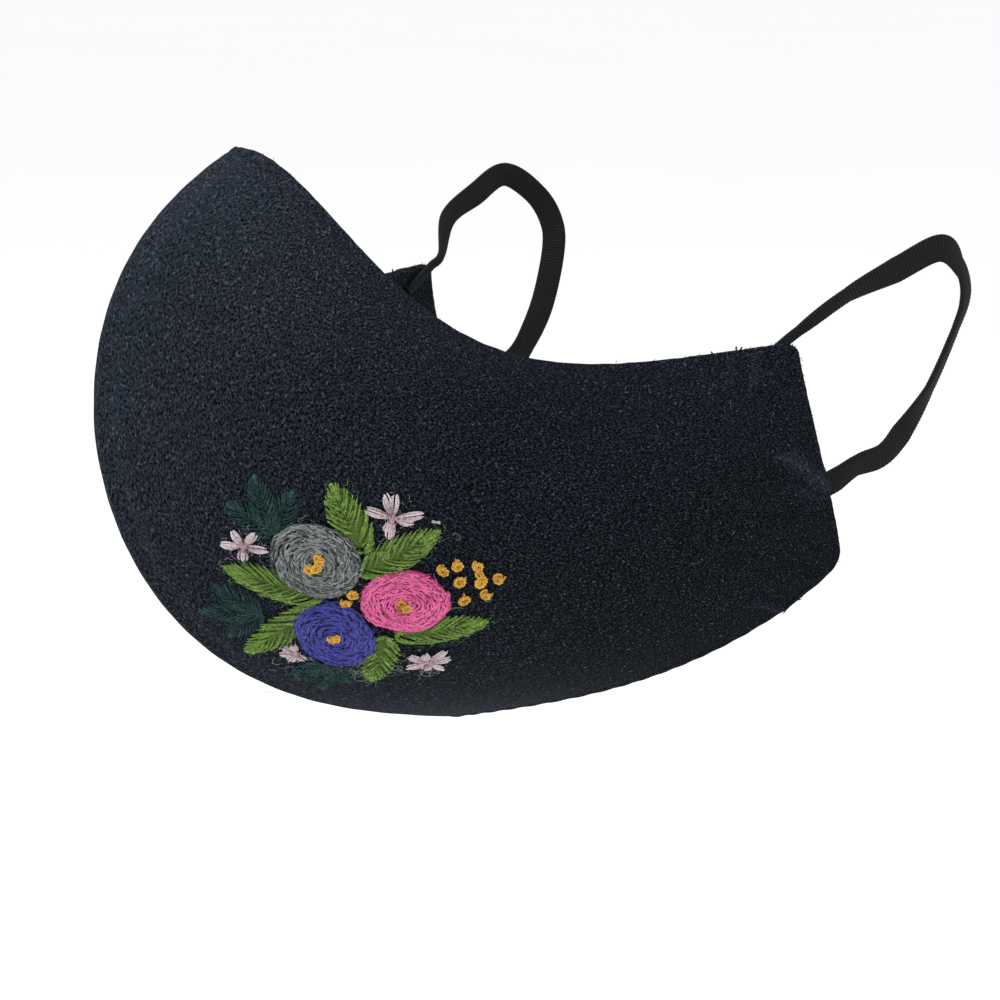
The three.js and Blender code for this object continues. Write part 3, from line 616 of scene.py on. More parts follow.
def panel_mesh(shape):
    """Outer and inner faces on one grid of across and down, joined round the hem by half ellipses
    between both faces, and down the seam by a flat face, which the thread draws up to the other
    panel's. UVs are in millimetres along the cloth."""
    cup = shape.cup
    nu, nv = PANEL_STEPS
    across, down = np.meshgrid(eased(nu + 1, 0.72), eased(nv + 1, 0.6), indexing="ij")
    across, down = inside_hem(shape, *cornered(shape, across, down))
    point, normal, along_across, along_down = shape.face(across, down)
    height = shape.relief(across, down, along_across, along_down)
    outer = shape.moved(point, normal, height)
    inner = shape.moved(point, normal, INNER_RELIEF * height - cup.wall)
    sewn = cup.seam_clearance / 2 * np.exp(-((across / SEWN_REACH) ** 2))
    outer[..., 0] -= sewn
    inner[..., 0] -= sewn
    outer_uv = np.stack([across * CLOTH_ACROSS, down * CLOTH_DOWN], -1)
    mesh = Mesh()
    quads = grid_quads(nu + 1, nv + 1)
    size = (nu + 1) * (nv + 1)
    flat_uv = outer_uv.reshape(-1, 2)
    faces = [(quads, flat_uv[quads]), (quads[:, ::-1] + size, flat_uv[quads[:, ::-1]])]
    index = np.arange(size).reshape(nu + 1, nv + 1)
    hem = np.concatenate([index[:-1, 0], index[-1, :-1], index[::-1, -1]])
    flat_outer, flat_inner = outer.reshape(-1, 3), inner.reshape(-1, 3)
    tangent = np.gradient(flat_outer[hem], axis=0)
    outwards = np.cross(normal.reshape(-1, 3)[hem], tangent)
    outwards[[0, -1], 0] = 0
    outwards = unit(outwards)
    middle = (flat_outer[hem] + flat_inner[hem]) / 2
    half = (flat_outer[hem] - flat_inner[hem]) / 2
    turn = np.pi * np.arange(1, HEM_STEPS)[:, None, None] / HEM_STEPS
    run = lengths_along(middle) / MM
    uneven = ((np.sin(run / 0.36) + np.sin(run / 0.61 + 1) + np.sin(run / 0.97 + 2))
              * np.sin(run / 4.1) ** 2)
    bulge = cup.rim_round * (1 + RIM_UNEVEN * uneven[:, None])
    rows = middle + half * np.cos(turn) + outwards * bulge * np.sin(turn)
    mesh.hem = (middle + outwards * bulge, outwards, normal.reshape(-1, 3)[hem],
                np.stack([across, down], -1).reshape(-1, 2)[hem])
    row_index = 2 * size + np.arange((HEM_STEPS - 1) * len(hem)).reshape(HEM_STEPS - 1, -1)
    row_index = np.concatenate([hem[None], row_index, hem[None] + size])
    a, b = row_index[:-1, :-1].reshape(-1), row_index[:-1, 1:].reshape(-1)
    c, d = row_index[1:, 1:].reshape(-1), row_index[1:, :-1].reshape(-1)
    around = np.tile(flat_uv[hem], (HEM_STEPS + 1, 1)).reshape(HEM_STEPS + 1, -1, 2)
    way_out = np.repeat([(0, -1), (1, 0), (0, 1)], [nu, nv, nu + 1], axis=0)
    around = around + CLOTH_HEM_STEP * np.arange(HEM_STEPS + 1)[:, None, None] * way_out
    corner_uv = np.stack([around[:-1, :-1], around[:-1, 1:], around[1:, 1:], around[1:, :-1]], 2)
    faces.append((np.stack([a, b, c, d], -1), corner_uv.reshape(-1, 4, 2)))
    for ends, turned in ((row_index[:, 0], False), (row_index[:, -1], True)):
        fan = np.stack([np.full(HEM_STEPS - 1, ends[0]), ends[1:-1], ends[2:]], -1)
        fan = fan[:, ::-1] if turned else fan
        faces.append((fan, np.zeros(fan.shape + (2,))))
    seam = index[0]
    plane = np.stack([seam[:-1], seam[:-1] + size, seam[1:] + size, seam[1:]], -1)
    faces.append((plane, np.zeros(plane.shape + (2,)) + flat_uv[seam[:-1]][:, None]))
    # the outer face and the hem rolls carry the cloth's painted light as their tone; the inner face
    # has none
    pale = shape.painted_light(across, down, along_across, along_down).reshape(-1)
    mesh.add(np.concatenate([flat_outer, flat_inner, rows.reshape(-1, 3)]), faces,
             np.concatenate([pale, 0 * pale, np.tile(pale[hem], HEM_STEPS - 1)]))
    return mesh


def hem_fibres_mesh(hem, seed=61):
    """Fuzz and thread ends of the hems: each leaves the rim outwards, leans along the hem and
    off the cloth, and curls as the square of the way."""
    random = np.random.default_rng(seed)
    places, outwards, normals, params = hem
    along = unit(np.gradient(places, axis=0))
    mesh = Mesh()
    steps = 7
    t = np.linspace(0, 1, steps)[:, None]
    count = HEM_FUZZ["count"]
    at = random.integers(4, len(places) - 4, count)
    length = random.uniform(0.4, 1, count) ** 2 * HEM_FUZZ["length"]
    heading = random.normal(0, 0.9, count)
    ends = np.array([np.abs(params - (row["across"], row["down"])).sum(-1).argmin()
                     for row in THREAD_ENDS])
    groups = ((at, length, heading, HEM_FUZZ["half_width"]),
              (ends, np.array([row["length"] for row in THREAD_ENDS]) * MM,
               np.radians([row["heading"] for row in THREAD_ENDS]), THREAD_END_HALF_WIDTH))
    for at, length, heading, thickness in groups:
        curl = random.normal(0, 0.5, (2, len(at), 1, 1))
        way = np.cos(heading)[:, None] * outwards[at] + np.sin(heading)[:, None] * along[at]
        off = normals[at][:, None]
        bent = way[:, None] * t + curl[0] * along[at][:, None] * t**2 + curl[1] * off * t**1.5
        root = places[at][:, None] - 0.15 * MM * outwards[at][:, None]
        tubes(mesh, root + length[:, None, None] * bent, np.repeat(off, steps, 1),
              thickness * tapered(steps, 0.3), 1.0, 3, random.uniform(-1, 1, len(at)))
    return mesh


def strand_faces(steps, sides):
    """Faces of one closed strand, whose rings' points come first and then both poles: side quads,
    the two end fans, and each quad's step and spoke."""
    step, spoke = np.meshgrid(np.arange(steps - 1), np.arange(sides), indexing="ij")
    step, spoke = step.reshape(-1), spoke.reshape(-1)
    after = (spoke + 1) % sides
    quads = np.stack([step * sides + spoke, step * sides + after,
                      (step + 1) * sides + after, (step + 1) * sides + spoke], -1)
    spokes = np.arange(sides)
    nexts = (spokes + 1) % sides
    last = (steps - 1) * sides
    fans = (np.stack([np.full(sides, steps * sides), nexts, spokes], -1),
            np.stack([np.full(sides, steps * sides + 1), last + spokes, last + nexts], -1))
    return quads, fans, step, spoke


def tubes(mesh, paths, normals, half_widths, flatness=0.85, sides=8, tone=0.0):
    """Closed strands along paths of points: at each point a ring of half width across and flatness
    times that off the cloth, from the path's direction and the normal. A pole closes each end.
    paths is strands by points, and UVs are the share round the strand and the length in mm."""
    count, steps = paths.shape[:2]
    side, up = strand_axes(paths, normals)
    angle = 2 * np.pi * np.arange(sides) / sides - np.pi / 2
    half = np.broadcast_to(half_widths, (count, steps))[..., None, None]
    ring = (np.cos(angle)[:, None] * side[:, :, None]
            + flatness * np.sin(angle)[:, None] * up[:, :, None])
    rings = (paths[:, :, None] + half * ring).reshape(count, -1, 3)
    points = np.concatenate([rings, paths[:, :1], paths[:, -1:]], 1)
    each = steps * sides + 2
    length = lengths_along(paths) / MM
    quads, fans, step, spoke = strand_faces(steps, sides)
    start = np.arange(count)[:, None, None] * each
    around = np.stack([spoke, spoke + 1, spoke + 1, spoke], -1) / sides
    along = np.stack([length[:, step], length[:, step], length[:, step + 1], length[:, step + 1]], -1)
    uv = np.stack([np.broadcast_to(around, along.shape), along], -1)
    faces = [((quads + start).reshape(-1, 4), uv.reshape(-1, 4, 2))]
    for fan in fans:
        faces.append(((fan + start).reshape(-1, 3), np.zeros((count * sides, 3, 2))))
    tones = np.broadcast_to(np.asarray(tone, float), (count,) if np.ndim(tone) < 2 else tone.shape)
    if tones.ndim == 1:
        tones = np.repeat(tones[:, None], steps, 1)
    rows = np.concatenate([np.repeat(tones, sides, 1), tones[:, :1], tones[:, -1:]], 1)
    mesh.add(points, faces, rows)


def yarn(mesh, paths, normals, width, twist, seed, tone=0.0, fullness=0.3, flatness=0.75):
    """Strands of two plies that wind round each path once in the twist's length: each ply is a
    tube whose centre circles the path at a quarter of the yarn's width."""
    random = np.random.default_rng(seed)
    count, steps = paths.shape[:2]
    side, up = strand_axes(paths, normals)
    wound = random.uniform(0, 2 * np.pi, (count, 1))
    wound = wound + 2 * np.pi * lengths_along(paths) / (twist * random.uniform(0.85, 1.2, (count, 1)))
    reach = (width * tapered(steps, fullness))[..., None]
    for ply in (0, np.pi):
        angle = (wound + ply)[..., None]
        offset = 0.26 * reach * (np.cos(angle) * side + flatness * np.sin(angle) * up)
        tubes(mesh, paths + offset, normals, 0.27 * reach[..., 0], flatness, 6, tone)


def wander(random, shape, smooth):
    """Smooth seeded noise of unit size along the last axis: white noise averaged over a Gaussian
    window whose width is a number of steps."""
    reach = int(3 * smooth)
    window = np.exp(-((np.arange(-reach, reach + 1) / smooth) ** 2))
    noise = random.normal(0, 1, shape[:-1] + (shape[-1] + 2 * reach,))
    mixed = np.apply_along_axis(np.convolve, -1, noise, window, "valid")
    return mixed / np.linalg.norm(window)


def tapered(steps, fullness=0.35):
    """Width share along a stitch: a sine to a small power, so that only its ends narrow."""
    t = np.linspace(0.02, 0.98, steps)
    return np.sin(np.pi * t) ** fullness


def pad(mesh, shape, centre, outline, height, tone=-1.0, rings=10):
    """A low dome under stitches, toned dark so that it paints the shade in the gaps between them:
    rings of an outline about a centre, from the cloth at the rim to a height in the middle, as the
    root of one less the square of the share."""
    count = len(outline)
    share = np.linspace(0, 1, rings + 1)[1:, None, None]
    places = centre + share * outline
    lift = height * np.sqrt(1 - np.clip(share[..., 0], 0, 1) ** 2) - 0.12 * MM * share[..., 0] ** 8
    over, _ = shape.on_chart(places, np.broadcast_to(lift, places.shape[:-1]))
    under, _ = shape.on_chart(places[-1], np.full(count, -0.3 * MM))
    top, _ = shape.on_chart(np.array([centre]), np.array([height]))
    bottom, _ = shape.on_chart(np.array([centre]), np.array([-0.3 * MM]))
    rows = np.concatenate([over, under[None]])
    points = np.concatenate([rows.reshape(-1, 3), top, bottom])
    k = np.arange(count)
    after = (k + 1) % count
    faces = []
    for ring in range(rings):
        faces.append(np.stack([ring * count + k, (ring + 1) * count + k,
                               (ring + 1) * count + after, ring * count + after], -1))
    pole, rim = (rings + 1) * count, rings * count
    fans = [np.stack([np.full(count, pole), k, after], -1),
            np.stack([np.full(count, pole + 1), rim + after, rim + k], -1)]
    faces = [(index, np.zeros(index.shape + (2,))) for index in faces + fans]
    mesh.add(points, faces, tone)


def turned(places, angle):
    """Places turned by an angle, anticlockwise on the chart."""
    cos, sin = np.cos(angle), np.sin(angle)
    x, y = places[..., 0], places[..., 1]
    return np.stack([x * cos - y * sin, x * sin + y * cos], -1)


def fibres(mesh, shape, starts, headings, lengths, curls, lift, thickness, seed, tone=0.6, steps=8):
    """Loose fibres: from each start the heading drifts by the curl and a seeded wander, and the
    fibre rises off the cloth as a sine and comes back."""
    random = np.random.default_rng(seed)
    t = np.linspace(0, 1, steps)
    count = len(starts)
    drift = np.cumsum(random.normal(0, 0.32, (count, steps)), axis=1)
    heading = headings[:, None] + curls[:, None] * t + drift
    stride = (lengths / (steps - 1))[:, None, None]
    walk = np.cumsum(direction(heading) * stride, axis=1)
    places = starts[:, None] + walk - walk[:, :1]
    rise = lift[:, None] * (0.35 + 0.65 * np.sin(np.pi * (0.1 + 0.8 * t)))
    paths, normals = shape.on_chart(places, rise)
    tubes(mesh, paths, normals, thickness * tapered(steps, 0.3), 1.0, 3, tone)


def rose_outline(rose, angle):
    """Radius share of a rose at an angle: a circle drawn out towards two opposite tips and a
    little flattened between five spokes."""
    return (1 + rose["tips"] * np.cos(2 * (angle - math.radians(rose["heading"])))
            + rose["spokes"] * np.cos(5 * angle + 1))


def dome(shares, height, edge):
    """Height of a rose at shares of its radius: an edge height, and a flattened round above it."""
    return edge + (height - edge) * np.sqrt(np.clip(1 - shares**2, 0, 1))


def rose_mesh(shape, embroidery, rose, seed):
    """A woven rose: one yarn on a spiral of even pitch, which passes over and under five spokes,
    so that neighbouring turns rise and fall in turn. Loose turns of yarn and many short ends of
    ply, which lean a little out of the turn, lie over it."""
    random = np.random.default_rng(seed)
    radius = rose["size"] * embroidery.rose_radius
    width, pitch = embroidery.wool, embroidery.pitch
    centre = np.array([rose["across"], rose["up"]]) * embroidery.rose_radius
    step = 0.27 * MM

    def laid(reach, angle, lift):
        places = (reach * rose_outline(rose, angle))[..., None] * direction(angle)
        shares = np.clip(reach / radius, 0, 1)
        return shape.on_chart(centre + places, dome(shares, rose["rise"], 0.3 * width) + lift)

    outer = radius - 0.4 * width
    turns = outer / pitch
    length = np.pi * outer**2 / pitch
    count = int(length / step)
    angle = 2 * np.pi * turns * np.sqrt(np.linspace(0.006, 1, count))
    reach = pitch * angle / (2 * np.pi) + 0.10 * MM * wander(random, (count,), 2.4)
    woven = np.cos(2.5 * angle + 0.6) * np.clip(reach / (2 * MM), 0, 1)
    reach = reach + 0.05 * MM * woven
    lift = 0.13 * MM * woven + 0.06 * MM * wander(random, (count,), 2.4)
    paths, normals = laid(reach[None], angle[None], lift[None])
    mesh = Mesh()
    rim = 2 * np.pi * np.arange(64) / 64
    outline = (radius - 0.8 * width) * rose_outline(rose, rim)[:, None] * direction(rim)
    # the dark pad paints the shade in the gaps between the turns
    pad(mesh, shape, centre, outline, rose["rise"] - 0.25 * MM, -1.6)
    tone = 0.5 * wander(random, (1, count), 6) - 0.55
    yarn(mesh, paths, normals, width, embroidery.twist, seed, tone, 0.02)
    loose, steps = 44, 15
    middle = (outer - 0.5 * MM) * np.sqrt(random.uniform(0.08, 1, (loose, 1)))
    span = random.uniform(2.2, 5.5, (loose, 1)) * MM / middle
    t = np.linspace(-0.5, 0.5, steps)
    angle = random.uniform(0, 2 * np.pi, (loose, 1)) + span * t
    reach = middle + random.normal(0, 0.6, (loose, 1)) * MM * t
    reach = reach + 0.09 * MM * wander(random, (loose, steps), 2)
    lift = 0.08 * MM + 0.2 * MM * np.cos(np.pi * t) + 0 * reach
    paths, normals = laid(reach, angle, lift)
    yarn(mesh, paths, normals, 0.8 * width, embroidery.twist, seed + 2, random.normal(0, 0.45, loose))
    short, steps = 540, 6
    middle = (outer - 0.2 * MM) * np.sqrt(random.uniform(0.02, 1, (short, 1)))
    length = random.uniform(0.8, 2.2, (short, 1)) * MM
    lean = random.normal(0.1, 0.36, (short, 1))
    t = np.linspace(-0.5, 0.5, steps)
    angle = random.uniform(0, 2 * np.pi, (short, 1)) + length * np.cos(lean) * t / middle
    reach = middle + length * np.sin(lean) * t
    lift = (random.uniform(0.12, 0.28, (short, 1)) + 0.15 * np.cos(np.pi * t)) * MM
    paths, normals = laid(reach, angle, lift)
    thickness = random.uniform(0.11, 0.17, (short, 1)) * MM * tapered(steps, 0.4)
    tubes(mesh, paths, normals, thickness, 0.8, 4, random.normal(0.55, 0.75, short))
    count = 300
    spread = radius * np.sqrt(random.uniform(0, 1.06, count))
    heading = random.uniform(0, 2 * np.pi, count)
    places = centre + spread[:, None] * direction(heading)
    rise = dome(np.clip(spread / radius, 0, 1), rose["rise"], 0.2 * width) + 0.3 * MM
    fibres(mesh, shape, places, heading + np.pi / 2 + random.normal(0, 0.7, count),
           random.uniform(0.6, 1.7, count) * MM, random.normal(0, 2.0, count), rise,
           embroidery.fuzz, seed + 1, steps=6)
    return mesh


def lens(t, length, width):
    """A leaf's outline about its middle, with pointed ends and broadest nearer its base."""
    sine = np.sin(t)
    broad = 1 - 0.15 * np.cos(t)
    return np.stack([length / 2 * np.cos(t), width / 2 * sine * np.abs(sine) ** 0.25 * broad], -1)


def free_of_roses(embroidery, places, margin):
    """Whether places of the chart lie outside every rose's circle less a margin."""
    free = np.ones(places.shape[:-1], bool)
    for rose in ROSES:
        centre = np.array([rose["across"], rose["up"]]) * embroidery.rose_radius
        gap = np.linalg.norm(places - centre, axis=-1) - rose["size"] * embroidery.rose_radius
        free &= gap > -margin
    return free


def leaf_stitches(mesh, shape, embroidery, base, heading, length, width, wool, height, seed,
                  plied=True, fuzz=90):
    """Fishbone stitches: from evenly spaced places of the outline each runs back to the midrib and
    a little past it, left and right in turn, and lies over the one before. Short ends of ply lie
    along the stitches."""
    random = np.random.default_rng(seed)
    count = max(6, int(round(length / (wool * 1.7))))
    t = 0.9 * np.pi * (np.arange(count) + 0.2) / (count + 0.3)
    t = np.stack([t, t + 0.45 * np.pi / (count + 0.3)], -1) + random.normal(0, 0.012, (count, 2))
    way = np.array([1, -1])
    edge = lens(np.clip(t, 0, np.pi), 1.02 * length, 1.22 * width)
    edge = np.stack([edge[..., 0], edge[..., 1] * way], -1)
    edge = edge + random.normal(0, 0.12, edge.shape) * wool * (1.8, 1.0)
    advance = (0.20 + 0.10 * np.sin(t) + random.normal(0, 0.012, t.shape)) * length
    rib = np.stack([edge[..., 0] - advance, (-0.35 * way + random.normal(0, 0.2, t.shape)) * wool], -1)
    rib[..., 0] = np.maximum(rib[..., 0], -length * 0.49)
    order = np.argsort(t.reshape(-1))
    start, end = edge.reshape(-1, 2)[order], rib.reshape(-1, 2)[order]
    side = np.tile(way, count)[order]
    steps = 14 if plied else 9
    u = np.linspace(0, 1, steps)
    run = end - start
    aside = np.stack([-run[:, 1], run[:, 0]], -1) * side[:, None]
    bow = 0.06 * np.sin(np.pi * u) * random.uniform(0.4, 1.4, (len(run), 1))
    places = start[:, None] + run[:, None] * u[:, None] - aside[:, None] * bow[..., None]
    middle = base + turned(np.array([length / 2, 0.0]), heading)
    places = middle + turned(places, heading)
    rise = wool * 0.2 + height * np.sin(np.pi * np.clip(0.10 + 0.75 * u, 0, 1))
    sink = 0.4 * wool * np.exp(-(((u - 1) / 0.12) ** 2)) + 0.3 * wool * np.exp(-((u / 0.06) ** 2))
    lift = rise - sink + random.uniform(-0.12, 0.2, (len(places), 1)) * wool
    keep = free_of_roses(embroidery, places[:, steps // 2], 0.3 * MM)
    kept = int(keep.sum())
    paths, normals = shape.on_chart(places[keep], lift[keep])
    # each stitch darkens towards the midrib, where it goes under the next one: painted shade; it is
    # lighter at the outline end and on the stitches nearest the tip
    tone = random.normal(0, 0.35, (kept, 1)) + 0.4 * np.exp(-((u / 0.3) ** 2)) - 0.55 * np.exp(
        -(((u - 1) / 0.25) ** 2))
    tone = tone + 1.2 * np.exp(-((order[keep][:, None] / 2.0) ** 2))
    rim = 2 * np.pi * np.arange(36) / 36
    outline = turned(lens(rim, length * 0.96, width * 1.08), heading)
    # the dark pad paints the shade in the gaps between the stitches
    pad(mesh, shape, middle, outline, height * 0.65, -1.0 if plied else -2.2, 6)
    if plied:
        yarn(mesh, paths, normals, wool, embroidery.twist, seed + 2, tone)
    else:
        half = wool * 0.5 * random.uniform(0.8, 1.1, (kept, 1)) * tapered(steps)
        tubes(mesh, paths, normals, half, 0.75, 5, tone)
    short, ply_steps = 150 if plied else 50, 7
    pick = random.integers(0, kept, (short, 1))
    first = random.uniform(0, 0.7, (short, 1))
    span = random.uniform(0.12, 0.27, (short, 1))
    at = (first + span * np.linspace(0, 1, ply_steps)) * (steps - 1)
    low = at.astype(int)
    share = (at - low)[..., None]
    laid, raised = places[keep], lift[keep][..., None]
    over = laid[pick, low] * (1 - share) + laid[pick, low + 1] * share
    over = over + random.normal(0, 0.3 * wool, (short, 1, 2))
    over = over + random.normal(0, 0.08 * MM, (short, ply_steps, 2))
    raised = raised[pick, low] * (1 - share) + raised[pick, low + 1] * share
    paths, normals = shape.on_chart(over, raised[..., 0] + 0.3 * wool)
    thickness = random.uniform(0.2, 0.32, (short, 1)) * wool * tapered(ply_steps, 0.4)
    tubes(mesh, paths, normals, thickness, 0.8, 4, random.normal(0.35, 0.6, short))
    ends = places[:, 0][random.integers(0, len(places), fuzz)]
    inwards = random.uniform(-0.1, 0.9, (fuzz, 1))
    starts = ends * (1 - inwards) + middle * inwards
    fibres(mesh, shape, starts, heading + random.normal(0, 0.9, fuzz),
           random.uniform(0.6, 1.9, fuzz) * MM, random.normal(0, 2.0, fuzz),
           np.full(fuzz, height + wool * 0.5), embroidery.fuzz, seed + 1, steps=6)


def leaf_mesh(shape, embroidery, leaf, seed):
    """One bright leaf of fishbone stitches."""
    base = np.array([leaf["across"], leaf["up"]]) * embroidery.rose_radius
    mesh = Mesh()
    leaf_stitches(mesh, shape, embroidery, base, math.radians(leaf["heading"]),
                  leaf["length"] * embroidery.leaf_length, leaf["width"] * embroidery.leaf_width,
                  embroidery.leaf_wool, 0.5 * MM, seed)
    return mesh


def sprig_mesh(shape, embroidery, sprig, seed):
    """Three dark leaflets from one base, each in fine fishbone stitches, with much loose fuzz."""
    base = np.array([sprig["across"], sprig["up"]]) * embroidery.rose_radius
    mesh = Mesh()
    for k, side in enumerate((-1, 1, 0)):
        share = 1 if side == 0 else 0.84
        leaf_stitches(mesh, shape, embroidery, base,
                      math.radians(sprig["heading"]) + side * embroidery.leaflet_spread,
                      sprig["length"] * share * embroidery.leaflet_length, embroidery.leaflet_width,
                      embroidery.leaf_wool * 0.72, 0.22 * MM, seed + 7 * k, False, 120)
    return mesh


def daisy_mesh(shape, embroidery, daisy, seed):
    """Long petals of four parallel strands: each leaves the middle, keeps its own distance from
    the petal's line, widest at two thirds of the way, and ends near the tip."""
    random = np.random.default_rng(seed)
    centre = np.array([daisy["across"], daisy["up"]]) * embroidery.rose_radius
    petals = np.array(daisy["petals"], float)
    strands, steps = 4, 17
    t = np.linspace(0, 1, steps)
    offsets = np.array([-1, 1, -0.35, 0.35])
    full = np.where(t < 0.66, np.sin(np.pi * t / 1.32), 1 - 0.45 * ((t - 0.66) / 0.34) ** 2)
    lateral = offsets[:, None] * (0.05 + 0.47 * full) * embroidery.petal_width
    lateral = lateral + random.normal(0, 0.07, (len(petals), strands, 1)) * MM * (0.3 + t)
    tip = random.uniform(0.86, 1.0, (len(petals), strands, 1))
    reach = (0.25 * MM + t * tip * (petals[:, 1, None, None] - 0.25) * MM)
    places = np.stack([reach, np.broadcast_to(lateral, reach.shape)], -1)
    places = centre + turned(places, np.radians(petals[:, 0])[:, None, None])
    keep = free_of_roses(embroidery, places[:, :, steps // 2], 0.1 * MM).reshape(-1)
    places = places.reshape(-1, steps, 2)[keep]
    lift = 0.12 * MM + 0.42 * MM * np.sin(np.pi * np.clip(0.10 + 0.82 * t, 0, 1)) ** 0.8
    lift = lift + np.tile((0, 0, 0.16, 0.14), len(petals))[keep][:, None] * MM
    paths, normals = shape.on_chart(places, lift)
    tone = (t * 2.5 - 1.5) + random.normal(0, 0.45, (len(places), 1))
    mesh = Mesh()
    yarn(mesh, paths, normals, 0.5 * MM, embroidery.twist, seed + 2, tone)
    if free_of_roses(embroidery, centre, 0):
        cross = np.array([0.2, 1.5, 2.6])
        line = np.linspace(-0.5, 0.5, steps)[:, None] * 1.5 * MM
        places = centre + line * direction(cross)[:, None]
        lift = np.broadcast_to(0.5 * MM + 0.1 * MM * np.sin(np.pi * t), (len(cross), steps))
        paths, normals = shape.on_chart(places, lift)
        yarn(mesh, paths, normals, 0.45 * MM, embroidery.twist, seed + 3, -1.0)
    count = 60
    starts = centre + random.normal(0, 2.0, (count, 2)) * MM
    fibres(mesh, shape, starts, random.uniform(0, 2 * np.pi, count),
           random.uniform(0.5, 1.5, count) * MM, random.normal(0, 2, count),
           np.full(count, 0.55 * MM), embroidery.fuzz * 0.7, seed + 1)
    return mesh


def knot_stitches(mesh, shape, centre, diameter, rise, seed, tone=0.0, twist=1.25 * MM):
    """A wound knot: yarn that coils in from the knot's rim and climbs, dips in the middle, and
    leaves one short end across the side."""
    random = np.random.default_rng(seed)
    coil_steps, tail_steps = 56, 18
    t = np.linspace(0, 1, coil_steps)
    diameter = COIL_SPREAD * diameter
    thread = diameter * 0.30
    angle = random.uniform(0, 2 * np.pi) + 2 * np.pi * random.uniform(1.9, 2.5) * t
    point = random.uniform(0, 2 * np.pi)
    reach = (diameter / 2 - thread / 2) * (1.0 - 0.82 * t**1.1)
    twice = np.cos(2 * angle + random.uniform(0, 6))
    reach = reach * (1 + 0.16 * np.cos(angle - point) + 0.10 * twice)
    places = centre + reach[:, None] * direction(angle)
    tilt = 0.18 * thread * np.cos(angle - random.uniform(0, 2 * np.pi))
    lift = rise + thread * (0.35 + 1.0 * np.sin(np.pi * 0.6 * t) - 0.8 * t**3) + tilt
    paths, normals = shape.on_chart(places[None], lift[None])
    # the tone falls from the rim to the hollow middle of the coil: painted shade there
    shade = tone + 1.3 - 3.2 * t**1.2
    yarn(mesh, paths, normals, thread, twist, seed, shade[None], 0.15, 0.9)
    way = direction(point)
    bend = np.array([-way[1], way[0]]) * random.uniform(-0.3, 0.3)
    t = np.linspace(0, 1, tail_steps)
    line = np.linspace(0.15, random.uniform(0.46, 0.56), tail_steps)[:, None]
    tail = centre + (way * line + bend * line**2) * diameter
    paths, normals = shape.on_chart(tail[None], (rise + thread * (1.15 - 1.1 * t**2))[None])
    yarn(mesh, paths, normals, 0.8 * thread, twist, seed + 1, tone + 0.2, 0.4, 0.9)


def knots(embroidery):
    """Centres of all thread knots on the chart, outer group first, then the pair between roses."""
    diameter = embroidery.knot_diameter
    base = np.array(OUTER_KNOTS_BASE) * embroidery.rose_radius
    outer = base + np.array([(knot["across"], knot["up"]) for knot in OUTER_KNOTS]) * diameter
    base = np.array(INNER_KNOTS_BASE) * embroidery.rose_radius
    reach = (diameter + embroidery.knot_clearance) / 2
    inner = base + turned(np.array([(-reach, 0), (reach, 0)]), math.radians(INNER_KNOTS_HEADING))
    return np.concatenate([outer, inner])


def catmull_rom(stations, t):
    """Points of a uniform Catmull-Rom curve through the stations, with reflected ends, at shares t
    of the way counted in stations."""
    first, last = 2 * stations[0] - stations[1], 2 * stations[-1] - stations[-2]
    row = np.concatenate([[first], stations, [last]])
    place = np.clip(t, 0, 1) * (len(stations) - 1)
    k = np.minimum(place.astype(int), len(stations) - 2)
    w = (place - k)[:, None]
    p0, p1, p2, p3 = row[k], row[k + 1], row[k + 2], row[k + 3]
    rate1, rate2 = (p2 - p0) / 2, (p3 - p1) / 2
    return ((2 * p1 - 2 * p2 + rate1 + rate2) * w**3 + (-3 * p1 + 3 * p2 - 2 * rate1 - rate2) * w**2
            + rate1 * w + p1)


def loop_stations(shape, elastic):
    """Places, facing, turn and width of the band's stations: the upper tab, the free route behind
    the ear and the lower tab."""
    cup = shape.cup
    inside = cup.wall + elastic.clearance + elastic.thickness / 2

    def seated(across, down, heading):
        _, _, along_across, along_down = shape.face(np.array([across]), np.array([down]))
        step_across = math.cos(heading) * elastic.tab_length / np.linalg.norm(along_across)
        step_down = math.sin(heading) * elastic.tab_length / np.linalg.norm(along_down)
        inwards = np.array(TAB_STATIONS)
        point, normal, _, _ = shape.face(across - inwards * step_across, down - inwards * step_down)
        return shape.moved(point, normal, np.full(len(inwards), -inside)), normal

    upper, upper_facing = seated(elastic.upper_across, 0.0, elastic.upper_heading)
    lower, lower_facing = seated(1.0, elastic.lower_down, elastic.lower_heading)
    lower, lower_facing = lower[::-1], lower_facing[::-1]
    corner = shape.face(np.array([1.0]), np.array([0.0]))[0][0]
    lowest, top = lower[0][2], corner[2] + elastic.rise
    free = np.array([(corner[0] + row["out"] * elastic.spread, corner[1] + row["back"] * elastic.reach,
                      lowest + row["level"] * (top - lowest)) for row in LOOP_ROUTE])
    places = np.concatenate([upper, free, lower])
    facing = np.concatenate([upper_facing, np.tile((1.0, 0, 0), (len(free), 1)), lower_facing])
    tabs = np.zeros(len(TAB_STATIONS))
    turns = np.radians(np.concatenate([tabs, [row["turn"] for row in LOOP_ROUTE], tabs]))
    widths = [row["wide"] for row in LOOP_ROUTE]
    widths = np.concatenate([tabs + elastic.upper_gather, widths, tabs + 1])
    return places, facing, turns, widths


